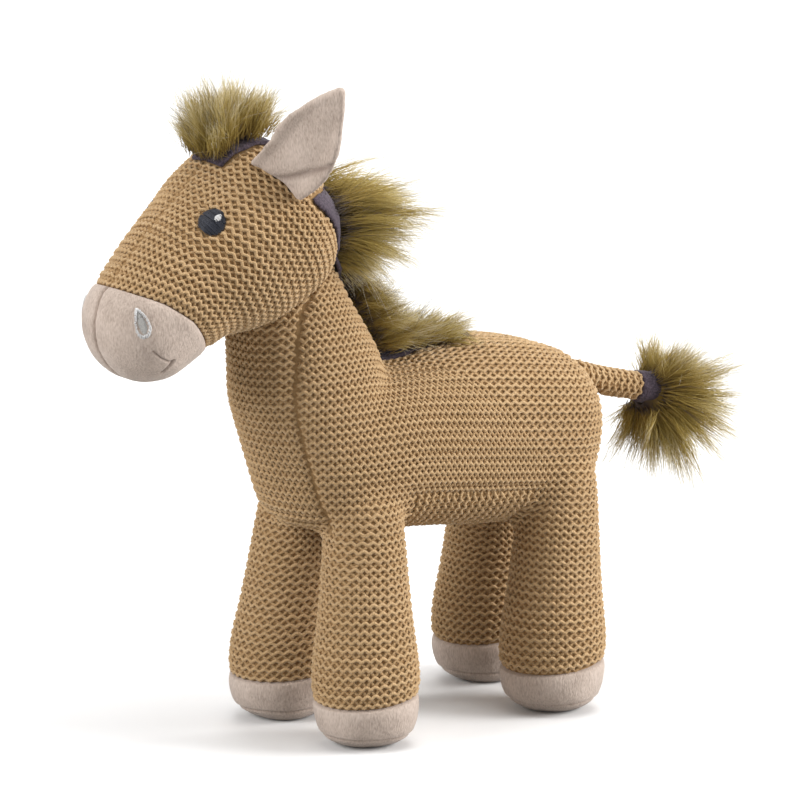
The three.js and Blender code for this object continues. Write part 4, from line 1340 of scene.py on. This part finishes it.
# One strand of a lock: a bent, wavy hair, a few of them flyaways and some of those dark guard hairs
def furHair(lock, lockTone, random):
    root, middle, end, length, bare = lock
    fly = random.random() < furStrand["flyaways"]
    guard = fly and random.random() < furStrand["guards"]
    reach = (random.uniform(*furStrand["flyReach"]) if fly
             else random.uniform(*furStrand["reach"]) ** furStrand["reachPower"])
    begin = min(bare * random.uniform(*furStrand["bare"]), furStrand["mostBare"])
    begin += random.uniform(0, furStrand["late"])
    scales = (1, 1, furStrand["loose"] if fly else 1)
    offset = [random.normal(size=3) * spread * mm * scale
              for spread, scale in zip(furStrand["spreads"], scales)]
    t = np.linspace(begin, 1, furStrand["points"]) * reach
    u = t[:, None]
    start = root + offset[0] * furStrand["rootFlat"]
    own = (1 - u) ** 2 * start + 2 * u * (1 - u) * (root + middle + offset[1])
    own = own + u * u * (root + end + offset[2] * furStrand["tipSpread"])
    phase = t * furStrand["waves"] + random.uniform(0, furStrand["phase"])
    own = own + np.sin(phase)[:, None] * random.normal(size=3) * (furStrand["wave"] * mm * u)
    tip = furStrand["tip"]
    taper = (1 - np.linspace(0, 1, len(t))) ** furStrand["taperPower"] * (1 - tip) + tip
    width = taper * (furStrand["flyThin"] if fly else random.uniform(*furStrand["thickness"]))
    share = furStrand["lockTone"]
    tone = furStrand["guardTone"] if guard else furStrand["toneTo"] * (
        share * lockTone + (1 - share) * random.random())
    return own, width, np.clip(t, 0, 1), np.full(len(t), tone)


def furStrands(name, piece):
    random = np.random.default_rng(piece["seed"])
    hairs = []
    for number in range(piece["locks"]):
        lock, lockTone = furLock(piece, number, random), random.random()
        hairs += [furHair(lock, lockTone, random) for _ in range(furStrand["perLock"])]
    splines, widths, alongs, tones = zip(*hairs)
    return curveMesh(name, splines, {"along": alongs, "tone": tones}, furStrand["radius"] * mm,
                     furPile, widths)


for label, piece in furPieces.items():
    core, points, normals = softSolid(f"{label}_undercoat", [piece["node"]], undercoat["voxel"],
                                      undercoat["rounds"], furPile, undercoat["rough"], undercoat["scale"])
    root = furRoot(points, piece)
    far = np.linalg.norm(points - root, axis=1) / mm
    movePoints(core.data, root + (points - root) * piece["core"])
    addValues(core.data, "tone", np.full(len(points), undercoat["tone"]))
    addValues(core.data, "along", np.clip((far - piece["dark"]) / undercoat["darkOver"],
                                          undercoat["darkest"], undercoat["lightest"]))
    made = furStrands(f"{label}_fur", piece)
    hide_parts(piece["node"])
    for part in (core, made):
        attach(part, piece["rides"])
print("fur combed")

# Floor, light and background
studio = {"floorSize": 6, "floor": 0.45, "floorSeen": 0.9, "floorRoughness": 0.9,
          "world": 0.3, "worldSeen": 1.0, "aimHeight": 0.14}
lights = {
    "left": {"from": (-2.4, 0.5, 1.3), "size": 1.8, "power": 54},
    "right": {"from": (2.1, -1.8, 1.2), "size": 1.8, "power": 106},
    "top": {"from": (0.1, -0.2, 2.7), "size": 2.2, "power": 36},
    "back": {"from": (1.2, 1.9, 1.6), "size": 1.6, "power": 24},
}
floorWork = bmesh.new()
bmesh.ops.create_grid(floorWork, x_segments=1, y_segments=1, size=studio["floorSize"])
floorMaterial, floorTree, floorShader = startMaterial("floor", studio["floorRoughness"])
floorPath = node(floorTree, "ShaderNodeLightPath").outputs["Is Camera Ray"]
floorColour = mix(floorTree, "MIX", floorPath, (studio["floor"],) * 3, (studio["floorSeen"],) * 3)
floorTree.links.new(floorColour, floorShader.inputs["Base Color"])
linked("floor", meshFrom("floor", floorWork), floorMaterial)
for name, lamp in lights.items():
    light = bpy.data.lights.new(name, "AREA")
    light.shape = "DISK"
    light.size = lamp["size"]
    light.energy = lamp["power"]
    made = bpy.data.objects.new(name, light)
    made.location = lamp["from"]
    aim = Vector((0, 0, studio["aimHeight"])) - made.location
    made.rotation_euler = aim.to_track_quat("-Z", "Y").to_euler()
    collection.objects.link(made)
world = bpy.data.worlds.new("studio")
world.use_nodes = True
tree = world.node_tree
path = node(tree, "ShaderNodeLightPath")
seen = mathNode(tree, "MAXIMUM", path.outputs["Is Camera Ray"], path.outputs["Is Glossy Ray"])
strength = mathNode(tree, "MULTIPLY_ADD", seen, studio["worldSeen"] - studio["world"], studio["world"])
background = tree.nodes["Background"]
background.inputs["Color"].default_value = (1, 1, 1, 1)
tree.links.new(strength, background.inputs["Strength"])
bpy.context.scene.world = world
bpy.context.scene.view_settings.view_transform = "Standard"
